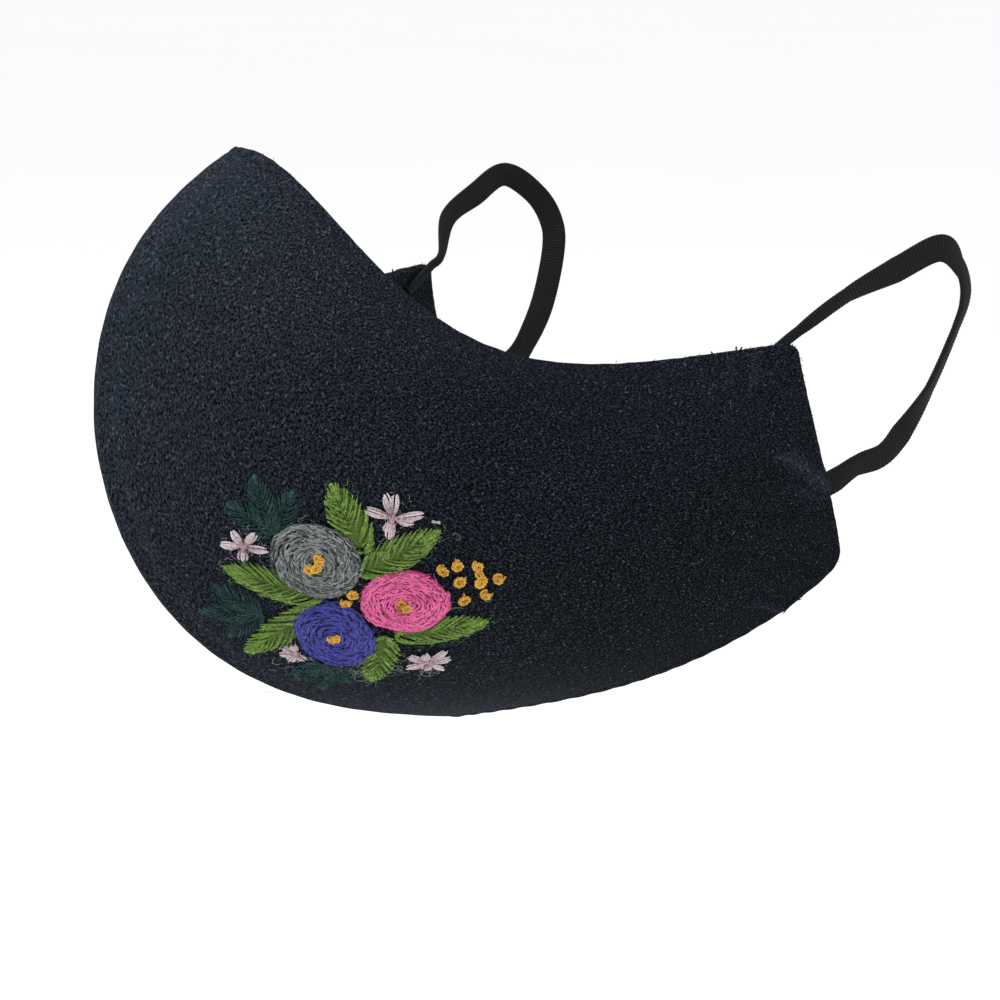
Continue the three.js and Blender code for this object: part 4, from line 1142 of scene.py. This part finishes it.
def elastic_mesh(shape, elastic):
    """The band: a flat rounded section carried along the curve through its stations, facing and
    turned as they say. Ribs are a wave along the band, and knitted rows a wave across it."""
    places, facing, turns, widths = loop_stations(shape, elastic)
    fine = np.linspace(0, 1, 4000)
    run = lengths_along(catmull_rom(places, fine))
    steps = int(run[-1] / (elastic.rib_pitch / 5))
    length = np.linspace(0, run[-1], steps)
    t = np.interp(length, run, fine)
    centre = catmull_rom(places, t)
    forward = unit(np.gradient(centre, axis=0))
    at = t * (len(places) - 1)
    stations = np.arange(len(places))
    face = np.stack([np.interp(at, stations, facing[:, axis]) for axis in range(3)], -1)
    face = unit(face - dot(face, forward)[:, None] * forward)
    turn = np.interp(at, stations, turns)[:, None]
    face = face * np.cos(turn) + np.cross(forward, face) * np.sin(turn)
    side = np.cross(forward, face)
    half = elastic.width / 2 * np.interp(at, stations, widths)[:, None]
    sides = 28
    angle = 2 * np.pi * np.arange(sides) / sides
    cos, sin = np.cos(angle), np.sin(angle)
    across = np.sign(cos) * np.abs(cos) ** 0.8
    off = np.sign(sin) * np.abs(sin) ** 0.55
    rib = np.sin(2 * np.pi * length / elastic.rib_pitch)[:, None]
    knit = np.cos(2 * np.pi * 3.5 * across)
    proud = elastic.rib_height * (0.65 * rib + 0.35 * knit)
    thick = elastic.thickness / 2 - elastic.rib_height + proud
    points = (centre[:, None]
              + side[:, None] * (half * across + 0.4 * proud * np.sign(across))[..., None]
              + face[:, None] * (thick * off)[..., None])
    quads, fans, step, spoke = strand_faces(steps, sides)
    around = np.stack([spoke, spoke + 1, spoke + 1, spoke], -1) / sides * 10
    along = np.stack([length[step], length[step], length[step + 1], length[step + 1]], -1) / MM
    faces = [(quads, np.stack([around, along], -1))]
    faces += [(fan, np.zeros(fan.shape + (2,))) for fan in fans]
    # the tone follows the ribs' height, which paints a highlight on their crowns
    tone = np.concatenate([(rib + 0 * angle).reshape(-1), [0, 0]])
    mesh = Mesh()
    mesh.add(np.concatenate([points.reshape(-1, 3), centre[:1], centre[-1:]]), faces, tone)
    return mesh


def topstitch_mesh(shape):
    """Stitches along the hem at the inset: short strands whose ends go down into the cloth."""
    cup = shape.cup
    fine = 900
    line = np.linspace(0, 1, fine)
    _, _, along_across, _ = shape.face(np.ones(fine), line)
    side_inset = cup.stitch_inset / np.linalg.norm(along_across, axis=-1)
    rows = []
    short = line < 1 - side_inset[0]
    for down, way in ((0.0, 1), (1.0, -1)):
        _, _, _, along_down = shape.face(line, np.full(fine, down))
        inset = cup.stitch_inset / np.linalg.norm(along_down, axis=-1)
        rows.append((line[short], (down + way * inset)[short]))
    top, low = rows
    inner = (line > top[1][-1]) & (line < low[1][-1])
    across = np.concatenate([top[0], (1 - side_inset)[inner], low[0][::-1]])
    down = np.concatenate([top[1], line[inner], low[1][::-1]])
    points, _ = shape.cloth(across, down)
    run = lengths_along(points)
    steps = 8
    starts = np.arange(cup.stitch_pitch, run[-1] - cup.stitch_pitch, cup.stitch_pitch)
    at = starts[:, None] + np.linspace(0, 0.72 * cup.stitch_pitch, steps)
    t = np.linspace(0, 1, steps)
    lift = cup.stitch_width * (0.75 * np.sin(np.pi * t) ** 0.6 - 0.35)
    paths, normals = shape.cloth(np.interp(at, run, across), np.interp(at, run, down),
                                 np.broadcast_to(lift, at.shape))
    mesh = Mesh()
    tubes(mesh, paths, normals, cup.stitch_width / 2 * tapered(steps, 0.3), 0.9, 6, 0.0)
    return mesh


def lint_mesh(shape, seed=71):
    """Specks of lint all over a panel: short curled fibres at seeded places of the panel."""
    random = np.random.default_rng(seed)
    steps = 5
    across = random.uniform(0.02, 0.98, LINT)
    down = random.uniform(0.02, 0.98, LINT)
    _, _, along_across, along_down = shape.face(across, down)
    size = random.uniform(0.25, 1.1, LINT) ** 2 * 0.9 * MM
    heading = random.uniform(0, 2 * np.pi, LINT)[:, None]
    heading = heading + np.cumsum(random.normal(0, 0.5, (LINT, steps)), 1)
    walk = np.cumsum(direction(heading) * size[:, None, None] / steps, 1)
    across = across[:, None] + walk[..., 0] / np.linalg.norm(along_across, axis=-1)[:, None]
    down = down[:, None] + walk[..., 1] / np.linalg.norm(along_down, axis=-1)[:, None]
    paths, normals = shape.cloth(np.clip(across, 0, 1), np.clip(down, 0, 1), 0.06 * MM)
    mesh = Mesh()
    tubes(mesh, paths, normals, 0.045 * MM * tapered(steps, 0.3), 1.0, 3,
          random.uniform(-1, 1, LINT))
    return mesh


def loose_thread_mesh(shape, embroidery):
    """Stray wool on the cloth round the bouquet: the listed threads, and seeded short curls in an
    oval cloud below it."""
    mesh = Mesh()
    table = {key: np.array([row[key] for row in LOOSE_THREADS], float) for key in LOOSE_THREADS[0]}
    starts = np.stack([table["across"], table["up"]], -1) * MM
    fibres(mesh, shape, starts, np.radians(table["heading"]), table["length"] * MM, table["curl"],
           np.full(len(starts), 0.22 * MM), embroidery.fuzz * 1.7, 5, table["shade"], 22)
    random = np.random.default_rng(9)
    cloud = random.normal(0, 1, (LOOSE_CURLS, 2)) * (7.5 * MM, 1.9 * MM)
    starts = np.array([-2.5, -21.8]) * MM + cloud
    starts = starts[free_of_roses(embroidery, starts, 0)]
    fibres(mesh, shape, starts, random.uniform(0, 2 * np.pi, len(starts)),
           random.uniform(1.5, 4.5, len(starts)) * MM, random.normal(0, 4, len(starts)),
           np.full(len(starts), 0.35 * MM), embroidery.fuzz, 10,
           random.uniform(-0.4, 0.5, len(starts)), 14)
    return mesh


def white_stitch_mesh(shape):
    """One short stitch of two strands that part at a small angle."""
    steps = 9
    t = np.linspace(-0.5, 0.5, steps)[:, None]
    heading = math.radians(WHITE_STITCH["heading"]) + np.array([0.0, 0.5])
    line = direction(heading)[:, None] * t * WHITE_STITCH["length"]
    places = (np.array([WHITE_STITCH["across"], WHITE_STITCH["up"]]) + line) * MM
    paths, normals = shape.on_chart(places, np.full(places.shape[:-1], 0.16 * MM))
    mesh = Mesh()
    tubes(mesh, paths, normals, 0.2 * MM * tapered(steps), 0.8, 8, 0.4)
    return mesh


class Nodes:
    """Short ways to add and link shader nodes of one material."""

    def __init__(self, name):
        self.material = bpy.data.materials.new(name)
        self.material.use_nodes = True
        self.tree = self.material.node_tree
        self.tree.nodes.clear()
        self.output = self.add("OutputMaterial")
        self.shader = self.add("BsdfPrincipled")
        self.link(self.shader, "BSDF", self.output, "Surface")

    def add(self, kind, **values):
        """A node of a kind. Each value sets its own property, or else the input of that name."""
        node = self.tree.nodes.new("ShaderNode" + kind)
        for key, value in values.items():
            if hasattr(node, key):
                setattr(node, key, value)
            else:
                node.inputs[key.replace("_", " ").title()].default_value = value
        return node

    def link(self, from_node, output, to_node, socket):
        """Join a node's output to another's input."""
        self.tree.links.new(from_node.outputs[output], to_node.inputs[socket])

    def math(self, operation, first, second=None, clamp=False):
        """A Math node on two inputs, each a (node, output) pair or a number."""
        node = self.tree.nodes.new("ShaderNodeMath")
        node.operation = operation
        node.use_clamp = clamp
        for socket, value in enumerate((first, second)):
            if isinstance(value, tuple):
                self.link(value[0], value[1], node, socket)
            elif value is not None:
                node.inputs[socket].default_value = value
        return node, 0

    def mix(self, share, first, second, blend="MIX"):
        """A colour Mix node. share, first and second are (node, output) pairs or values."""
        node = self.tree.nodes.new("ShaderNodeMix")
        node.data_type = "RGBA"
        node.blend_type = blend
        for socket, value in ((0, share), (6, first), (7, second)):
            if isinstance(value, tuple) and hasattr(value[0], "outputs"):
                self.link(value[0], value[1], node, socket)
            elif socket:
                node.inputs[socket].default_value = (*value, 1) if len(value) == 3 else value
            else:
                node.inputs[socket].default_value = value
        return node, 2

    def ramp(self, value, stops):
        """A ramp of grey levels: stops are (place, level) pairs."""
        node = self.tree.nodes.new("ShaderNodeValToRGB")
        elements = node.color_ramp.elements
        while len(elements) < len(stops):
            elements.new(0.5)
        for element, (place, level) in zip(elements, stops):
            element.position = place
            element.color = (level, level, level, 1)
        self.link(value[0], value[1], node, 0)
        return node, 0

    def noise(self, vector, scale, detail=2.0, roughness=0.5, distortion=0.0):
        """A Noise node's grey level on a vector."""
        node = self.tree.nodes.new("ShaderNodeTexNoise")
        for name, value in (("Scale", scale), ("Detail", detail), ("Roughness", roughness),
                            ("Distortion", distortion)):
            node.inputs[name].default_value = value
        self.link(vector[0], vector[1], node, "Vector")
        return node, 0

    def mapped(self, vector, scale=(1, 1, 1), turn=0.0):
        """A vector scaled, and turned about its third axis."""
        node = self.tree.nodes.new("ShaderNodeMapping")
        node.inputs["Scale"].default_value = scale
        node.inputs["Rotation"].default_value = (0, 0, turn)
        self.link(vector[0], vector[1], node, "Vector")
        return node, 0

    def bump(self, height, strength, distance, normal=None):
        """A normal bent by a height, on top of another normal if one is given."""
        node = self.tree.nodes.new("ShaderNodeBump")
        node.inputs["Strength"].default_value = strength
        node.inputs["Distance"].default_value = distance
        self.link(height[0], height[1], node, "Height")
        if normal:
            self.link(normal[0], normal[1], node, "Normal")
        return node, 0

    def base(self, roughness, sheen=0.0, sheen_roughness=0.5, tint=(1, 1, 1), specular=0.3):
        """The shader's plain values."""
        for name, value in (("Roughness", roughness), ("Sheen Weight", sheen),
                            ("Sheen Roughness", sheen_roughness), ("Sheen Tint", (*tint, 1)),
                            ("Specular IOR Level", specular)):
            self.shader.inputs[name].default_value = value


def crepe(colours):
    """Black crepe: a pebbled grain that leans along the bias of the cloth, pale specks where it
    catches the light, slow colour drift, and a soft bluish sheen. The tone adds painted light to
    the grain's lit share."""
    nodes = Nodes("crepe")
    coords = nodes.add("TexCoord")
    uv, place = (coords, "UV"), (coords, "Object")
    tone = (nodes.add("Attribute", attribute_name="tone"), "Fac")
    bias = nodes.mapped(uv, (2.5, 1.25, 1), math.radians(38))
    grain = nodes.noise(bias, 1.15, 2.0, 0.6, 0.4)
    fine = nodes.noise(place, 3300, 2.0, 0.6)
    pebble = nodes.math("ADD", nodes.math("MULTIPLY", grain, 0.75), nodes.math("MULTIPLY", fine, 0.25))
    drift = nodes.noise(place, 34, 2.0, 0.5)
    specks = nodes.ramp(nodes.noise(place, 1500, 1.0, 0.7), [(0.0, 0.0), (0.57, 0.0), (0.68, 1.0)])
    # the tone adds painted light: painted sheen on creases and by the seam, a painted highlight near
    # the nose, painted shade low down
    raised = nodes.math("ADD", pebble, nodes.math("MULTIPLY", tone, 0.09))
    light = nodes.ramp(raised, [(0.47, 0.0), (0.61, 1.0)])
    dark = tuple(0.3 * value for value in colours.cloth)
    lit = tuple(6.2 * value for value in colours.cloth)
    colour = nodes.mix(light, dark, lit)
    colour = nodes.mix(nodes.math("MULTIPLY", specks, nodes.math("MULTIPLY", light, 0.55)), colour,
                       tuple(colours.cloth_speck))
    paler = nodes.ramp(drift, [(0.35, 0.0), (0.7, 0.5)])
    colour = nodes.mix(paler, colour, (1.35, 1.35, 1.35), "MULTIPLY")
    nodes.link(*colour, nodes.shader, "Base Color")
    nodes.link(*nodes.bump(pebble, 0.9, 0.2 * MM), nodes.shader, "Normal")
    nodes.base(0.85, sheen=0.02, sheen_roughness=0.35, tint=(0.55, 0.78, 1.0), specular=0.035)
    return nodes.material


def wool(name, colour, deep=0.22, pale=1.5, sheen=0.25, warm=(1, 1, 1)):
    """Embroidery wool: two plies that wind round the strand, fine fibres along it, a tone for each
    stitch, and painted shade in the grooves between the plies. warm tints the deep tone."""
    nodes = Nodes(name)
    coords = nodes.add("TexCoord")
    tone = (nodes.add("Attribute", attribute_name="tone"), "Fac")
    split = nodes.add("SeparateXYZ")
    nodes.link(coords, "UV", split, 0)
    wound = nodes.math("ADD", nodes.math("MULTIPLY", (split, 0), 4 * math.pi),
                       nodes.math("MULTIPLY", (split, 1), 2 * math.pi / 1.15))
    ply = nodes.math("SINE", wound)
    fibre = nodes.noise(nodes.mapped((coords, "UV"), (9.0, 1.6, 1)), 1.0, 3.0, 0.65, 0.4)
    flecks = nodes.noise((coords, "Object"), 2600, 2.0, 0.6)
    height = nodes.math("ADD", nodes.math("MULTIPLY", ply, 0.35), nodes.math("MULTIPLY", fibre, 0.9))
    # the ply wave darkens the grooves between the plies: painted shade
    shade = nodes.math("ADD", nodes.math("MULTIPLY", tone, 0.30), nodes.math("MULTIPLY", ply, 0.10))
    shade = nodes.math("ADD", shade, nodes.math("MULTIPLY", nodes.math("SUBTRACT", fibre, 0.5), 0.9))
    shade = nodes.math("ADD", shade, nodes.math("MULTIPLY", nodes.math("SUBTRACT", flecks, 0.5), 0.7))
    shade = nodes.math("ADD", shade, 0.52, clamp=True)
    dark = tuple(deep * value * tint for value, tint in zip(colour, warm))
    light = tuple(min(1.0, pale * value) for value in colour)
    low = nodes.mix(nodes.math("MULTIPLY", shade, 2.0, clamp=True), dark, tuple(colour))
    upper = nodes.math("SUBTRACT", nodes.math("MULTIPLY", shade, 2.0), 1.0, clamp=True)
    both = nodes.mix(upper, low, light)
    nodes.link(*both, nodes.shader, "Base Color")
    nodes.link(*nodes.bump(height, 0.8, 0.09 * MM), nodes.shader, "Normal")
    nodes.base(0.8, sheen, sheen_roughness=0.4, specular=0.08)
    return nodes.material


def knitted_elastic(colours):
    """Black elastic: a painted highlight on the ribs' crowns, with a fine knitted grain between them.
    """
    nodes = Nodes("knitted_elastic")
    coords = nodes.add("TexCoord")
    tone = (nodes.add("Attribute", attribute_name="tone"), "Fac")
    grain = nodes.noise(nodes.mapped((coords, "UV"), (3.2, 3.2, 1)), 1.4, 3.0, 0.6)
    flecks = nodes.noise((coords, "Object"), 2400, 2.0, 0.6)
    # the tone paints a highlight on the rib crowns
    shade = nodes.math("ADD", nodes.math("MULTIPLY", tone, 0.22), nodes.math("MULTIPLY", grain, 0.6))
    flecks = nodes.math("MULTIPLY", nodes.math("SUBTRACT", flecks, 0.35), 0.6)
    shade = nodes.math("ADD", shade, flecks, clamp=True)
    colour = nodes.mix(shade, tuple(0.35 * value for value in colours.elastic),
                       tuple(2.4 * value for value in colours.elastic))
    nodes.link(*colour, nodes.shader, "Base Color")
    nodes.link(*nodes.bump(grain, 0.7, 0.12 * MM), nodes.shader, "Normal")
    nodes.base(0.8, sheen=0.02, sheen_roughness=0.4, tint=(0.85, 1.0, 0.95), specular=0.08)
    return nodes.material


def sewing_thread(colours):
    """Black cotton thread of the topstitch, with its twist as fine slanted lines."""
    nodes = Nodes("sewing_thread")
    coords = nodes.add("TexCoord")
    twist = nodes.noise(nodes.mapped((coords, "UV"), (4.0, 5.0, 1), math.radians(35)), 1.5, 2.0, 0.6)
    colour = nodes.mix(twist, tuple(0.5 * value for value in colours.sewing),
                       tuple(2.6 * value for value in colours.sewing))
    nodes.link(*colour, nodes.shader, "Base Color")
    nodes.link(*nodes.bump(twist, 0.6, 0.05 * MM), nodes.shader, "Normal")
    nodes.base(0.7, sheen=0.02, sheen_roughness=0.4, specular=0.12)
    return nodes.material


def loose_fibre(name, colour, spread):
    """Stray fibres and lint: pale to dark by each fibre's tone, with a soft sheen."""
    nodes = Nodes(name)
    coords = nodes.add("TexCoord")
    tone = (nodes.add("Attribute", attribute_name="tone"), "Fac")
    flecks = nodes.noise((coords, "Object"), 900, 1.0, 0.5)
    shade = nodes.math("ADD", nodes.math("MULTIPLY", tone, spread), flecks, clamp=True)
    both = nodes.mix(shade, tuple(0.3 * value for value in colour), tuple(colour))
    nodes.link(*both, nodes.shader, "Base Color")
    nodes.base(0.8, sheen=0.3, sheen_roughness=0.4, specular=0.2)
    return nodes.material


class MASK_OT_panels(bpy.types.Operator):
    """Make both cloth panels and their topstitching"""
    bl_idname = "mask.panels"
    bl_label = "Panels"

    def execute(self, context):
        cup, _, embroidery, colours, _ = settings()
        shape = PanelShape(cup, embroidery)
        cloth, thread = crepe(colours), sewing_thread(colours)
        mesh, stitches = panel_mesh(shape), topstitch_mesh(shape)
        for side, panel, sewn in (("left", mesh, stitches),
                                  ("right", mesh.mirror(), stitches.mirror())):
            piece = panel.build(f"cloth_{side}", cloth, "cloth", f"panel_{side}")
            hem = sewn.build(f"topstitch_{side}", thread, "cloth")
        return {"FINISHED"}


class MASK_OT_elastic(bpy.types.Operator):
    """Make both ear loops of flat ribbed elastic"""
    bl_idname = "mask.elastic"
    bl_label = "Ear elastic"

    def execute(self, context):
        cup, elastic, embroidery, colours, _ = settings()
        shape = PanelShape(cup, embroidery)
        material = knitted_elastic(colours)
        mesh = elastic_mesh(shape, elastic)
        mesh.build("elastic_left", material, "elastic", "ear_loop_left")
        mesh.mirror().build("elastic_right", material, "elastic", "ear_loop_right")
        return {"FINISHED"}


class MASK_OT_roses(bpy.types.Operator):
    """Make the three woven roses, each with a small yellow heart"""
    bl_idname = "mask.roses"
    bl_label = "Roses"

    def execute(self, context):
        cup, _, embroidery, colours, _ = settings()
        shape = PanelShape(cup, embroidery)
        wools = {"grey_thread": wool("grey_wool", colours.grey, deep=0.16, pale=2.3, sheen=0.12),
                 "pink_thread": wool("pink_wool", colours.pink, deep=0.55, pale=1.3, sheen=0.1,
                                     warm=(1, 0.5, 0.8)),
                 "violet_thread": wool("violet_wool", colours.violet, deep=0.3, pale=1.75, sheen=0.1)}
        hearts = wool("heart_wool", colours.yellow, deep=0.42, pale=1.3, sheen=0.08,
                      warm=(1, 0.62, 0.3))
        heart_mesh = Mesh()
        for k, rose in enumerate(ROSES):
            rose_mesh(shape, embroidery, rose, seed_of("rose", k)).build(
                f"stitched_{rose['name']}", wools[rose["slot"]], rose["slot"], rose["name"])
            centre = np.array([rose["across"], rose["up"]]) * embroidery.rose_radius
            for m, row in enumerate(HEARTS[rose["name"]]):
                knot_stitches(heart_mesh, shape, centre + np.array([row["across"], row["up"]]) * MM,
                              row["size"] * MM, rose["rise"] - 0.1 * MM, seed_of("heart", k) + m,
                              row["tone"])
        heart_mesh.build("rose_hearts", hearts, "yellow_thread")
        return {"FINISHED"}


class MASK_OT_leaves(bpy.types.Operator):
    """Make the bright leaves and the dark sprigs in fishbone stitch"""
    bl_idname = "mask.leaves"
    bl_label = "Leaves and sprigs"

    def execute(self, context):
        cup, _, embroidery, colours, _ = settings()
        shape = PanelShape(cup, embroidery)
        bright = wool("leaf_wool", colours.leaf, deep=0.22, pale=1.9, sheen=0.1, warm=(0.9, 1, 0.6))
        dark = wool("dark_wool", colours.dark, deep=0.14, pale=2.9, sheen=0.04)
        for k, leaf in enumerate(LEAVES):
            leaf_mesh(shape, embroidery, leaf, seed_of("leaf", k)).build(
                f"stitched_leaf_{k + 1}", bright, "leaf_thread", f"leaf_{k + 1}")
        for k, sprig in enumerate(SPRIGS):
            sprig_mesh(shape, embroidery, sprig, seed_of("sprig", k)).build(
                f"stitched_{sprig['name']}", dark, "dark_thread", sprig["name"])
        return {"FINISHED"}


class MASK_OT_daisies(bpy.types.Operator):
    """Make the pale daisies and the yellow knots"""
    bl_idname = "mask.daisies"
    bl_label = "Daisies and knots"

    def execute(self, context):
        cup, _, embroidery, colours, _ = settings()
        shape = PanelShape(cup, embroidery)
        pale = wool("pale_wool", colours.pale, deep=0.36, pale=1.3, sheen=0.08, warm=(1, 0.62, 0.70))
        yellow = wool("yellow_wool", colours.yellow, deep=0.42, pale=1.3, sheen=0.08,
                      warm=(1, 0.62, 0.3))
        for k, daisy in enumerate(DAISIES):
            daisy_mesh(shape, embroidery, daisy, seed_of("daisy", k)).build(
                f"stitched_daisy_{k + 1}", pale, "pale_thread", f"daisy_{k + 1}")
        diameter, rise = embroidery.knot_diameter, 0.05 * MM
        for k, centre in enumerate(knots(embroidery)):
            mesh = Mesh()
            seed = seed_of("knot", k)
            random = np.random.default_rng(seed)
            knot_stitches(mesh, shape, centre, diameter * random.uniform(0.95, 1.08), rise, seed,
                          random.normal(0, 0.15))
            if k == DOUBLE_KNOT["knot"]:
                aside = np.array([DOUBLE_KNOT["across"], DOUBLE_KNOT["up"]]) * diameter
                knot_stitches(mesh, shape, centre + aside, DOUBLE_KNOT["size"] * diameter, rise,
                              DOUBLE_KNOT["seed"])
            mesh.build(f"stitched_knot_{k + 1}", yellow, "yellow_thread", f"knot_{k + 1}")
        return {"FINISHED"}


class MASK_OT_lint(bpy.types.Operator):
    """Make the stray wool round the bouquet and the lint on both panels"""
    bl_idname = "mask.lint"
    bl_label = "Loose threads"

    def execute(self, context):
        cup, _, embroidery, _, _ = settings()
        shape = PanelShape(cup, embroidery)
        stray = loose_fibre("stray_wool", (0.17, 0.20, 0.19), 0.6)
        lint = loose_fibre("lint", (0.15, 0.17, 0.20), 0.5)
        white = wool("white_wool", (0.30, 0.29, 0.30), deep=0.4, pale=1.5, sheen=0.1)
        loose_thread_mesh(shape, embroidery).build("loose_threads", stray, "dark_thread")
        white_stitch_mesh(shape).build("white_stitch", white, "pale_thread")
        fuzz = loose_fibre("cloth_fuzz", (0.030, 0.035, 0.042), 0.5)
        for name, mesh, material in (("lint", lint_mesh(shape), lint),
                                     ("hem_fibres", hem_fibres_mesh(panel_mesh(shape).hem), fuzz)):
            mesh.build(f"{name}_left", material, "cloth")
            mesh.mirror().build(f"{name}_right", material, "cloth")
        return {"FINISHED"}


def area_light(name, place, target, size, power, colour=(1, 1, 1)):
    """A round soft light at a place, facing the target."""
    data = bpy.data.lights.new(name, "AREA")
    data.shape = "DISK"
    data.size = size
    data.energy = power
    data.color = colour
    light = bpy.data.objects.new(name, data)
    bpy.context.scene.collection.objects.link(light)
    light.location = place
    light.rotation_euler = (Vector(target) - Vector(place)).to_track_quat("-Z", "Y").to_euler()
    return light


class MASK_OT_stage(bpy.types.Operator):
    """Make the camera, the soft lights and the pale floor"""
    bl_idname = "mask.stage"
    bl_label = "Stage"

    def execute(self, context):
        stage = settings()[4]
        scene = context.scene
        scene.view_settings.view_transform = "Standard"
        azimuth, elevation = stage.azimuth, stage.elevation
        level = math.cos(elevation)
        back = Vector((math.sin(azimuth) * level, -math.cos(azimuth) * level, math.sin(elevation)))
        right = Vector((math.cos(azimuth), math.sin(azimuth), 0))
        up = back.cross(right)
        target = Vector(stage.target)
        data = bpy.data.cameras.new("camera")
        data.sensor_width = 36
        data.lens = 36 * stage.distance / stage.view_width
        data.clip_start = 0.01
        data.clip_end = 100
        camera = bpy.data.objects.new("camera", data)
        scene.collection.objects.link(camera)
        camera.location = target + back * stage.distance
        camera.rotation_euler = back.to_track_quat("Z", "Y").to_euler()
        scene.camera = camera

        key = target - right * 0.75 + up * 0.8 + back * 0.3
        fill = target + right * 0.6 + up * 0.35 + back * 0.8
        area_light("key_light", key, target, size=0.5, power=9, colour=(0.93, 0.97, 1))
        area_light("fill_light", fill, target, size=0.6, power=1.5)
        world = bpy.data.worlds.new("studio")
        world.use_nodes = True
        world.node_tree.nodes["Background"].inputs["Color"].default_value = (1, 1, 1, 1)
        world.node_tree.nodes["Background"].inputs["Strength"].default_value = 1.0
        scene.world = world

        floor_level = FRAME_BOUNDS[0][2] - stage.floor_drop
        half = 12.0
        floor = bpy.data.meshes.new("floor")
        floor.from_pydata([(-half, -half, floor_level), (half, -half, floor_level),
                           (half, half, floor_level), (-half, half, floor_level)], [], [(0, 1, 2, 3)])
        nodes = Nodes("pale_floor")
        coords = nodes.add("TexCoord")
        drift = nodes.noise((coords, "Object"), 3.0, 2.0, 0.5)
        white = nodes.mix(drift, (0.95, 0.95, 0.95), (0.97, 0.97, 0.97))
        nodes.link(*white, nodes.shader, "Base Color")
        nodes.base(0.9)
        floor.materials.append(nodes.material)
        piece = bpy.data.objects.new("floor", floor)
        scene.collection.objects.link(piece)
        return {"FINISHED"}


class MASK_PT_panel(bpy.types.Panel):
    """Buttons and sizes of the mask"""
    bl_label = "Cloth face mask"
    bl_idname = "MASK_PT_panel"
    bl_space_type = "VIEW_3D"
    bl_region_type = "UI"
    bl_category = "Mask"

    def draw(self, context):
        for operator in OPERATORS:
            self.layout.operator(operator.bl_idname)
        for group in settings():
            box = self.layout.box()
            for name in group.bl_rna.properties.keys():
                if name not in ("rna_type", "name"):
                    box.prop(group, name)


OPERATORS = (MASK_OT_stage, MASK_OT_panels, MASK_OT_elastic, MASK_OT_roses, MASK_OT_leaves,
             MASK_OT_daisies, MASK_OT_lint)
GROUPS = {"mask_cup": CupSettings, "mask_elastic": ElasticSettings,
          "mask_embroidery": EmbroiderySettings, "mask_colours": ColourSettings,
          "mask_stage": StageSettings}


def register():
    for group in GROUPS.values():
        bpy.utils.register_class(group)
    for name, group in GROUPS.items():
        setattr(bpy.types.Scene, name, bpy.props.PointerProperty(type=group))
    for operator in OPERATORS:
        bpy.utils.register_class(operator)
    bpy.utils.register_class(MASK_PT_panel)


def unregister():
    bpy.utils.unregister_class(MASK_PT_panel)
    for operator in reversed(OPERATORS):
        bpy.utils.unregister_class(operator)
    for name, group in reversed(GROUPS.items()):
        delattr(bpy.types.Scene, name)
        bpy.utils.unregister_class(group)


def main():
    register()
    bpy.ops.mask.stage()
    bpy.ops.mask.panels()
    bpy.ops.mask.elastic()
    bpy.ops.mask.roses()
    bpy.ops.mask.leaves()
    bpy.ops.mask.daisies()
    bpy.ops.mask.lint()


if __name__ == "__main__":
    main()
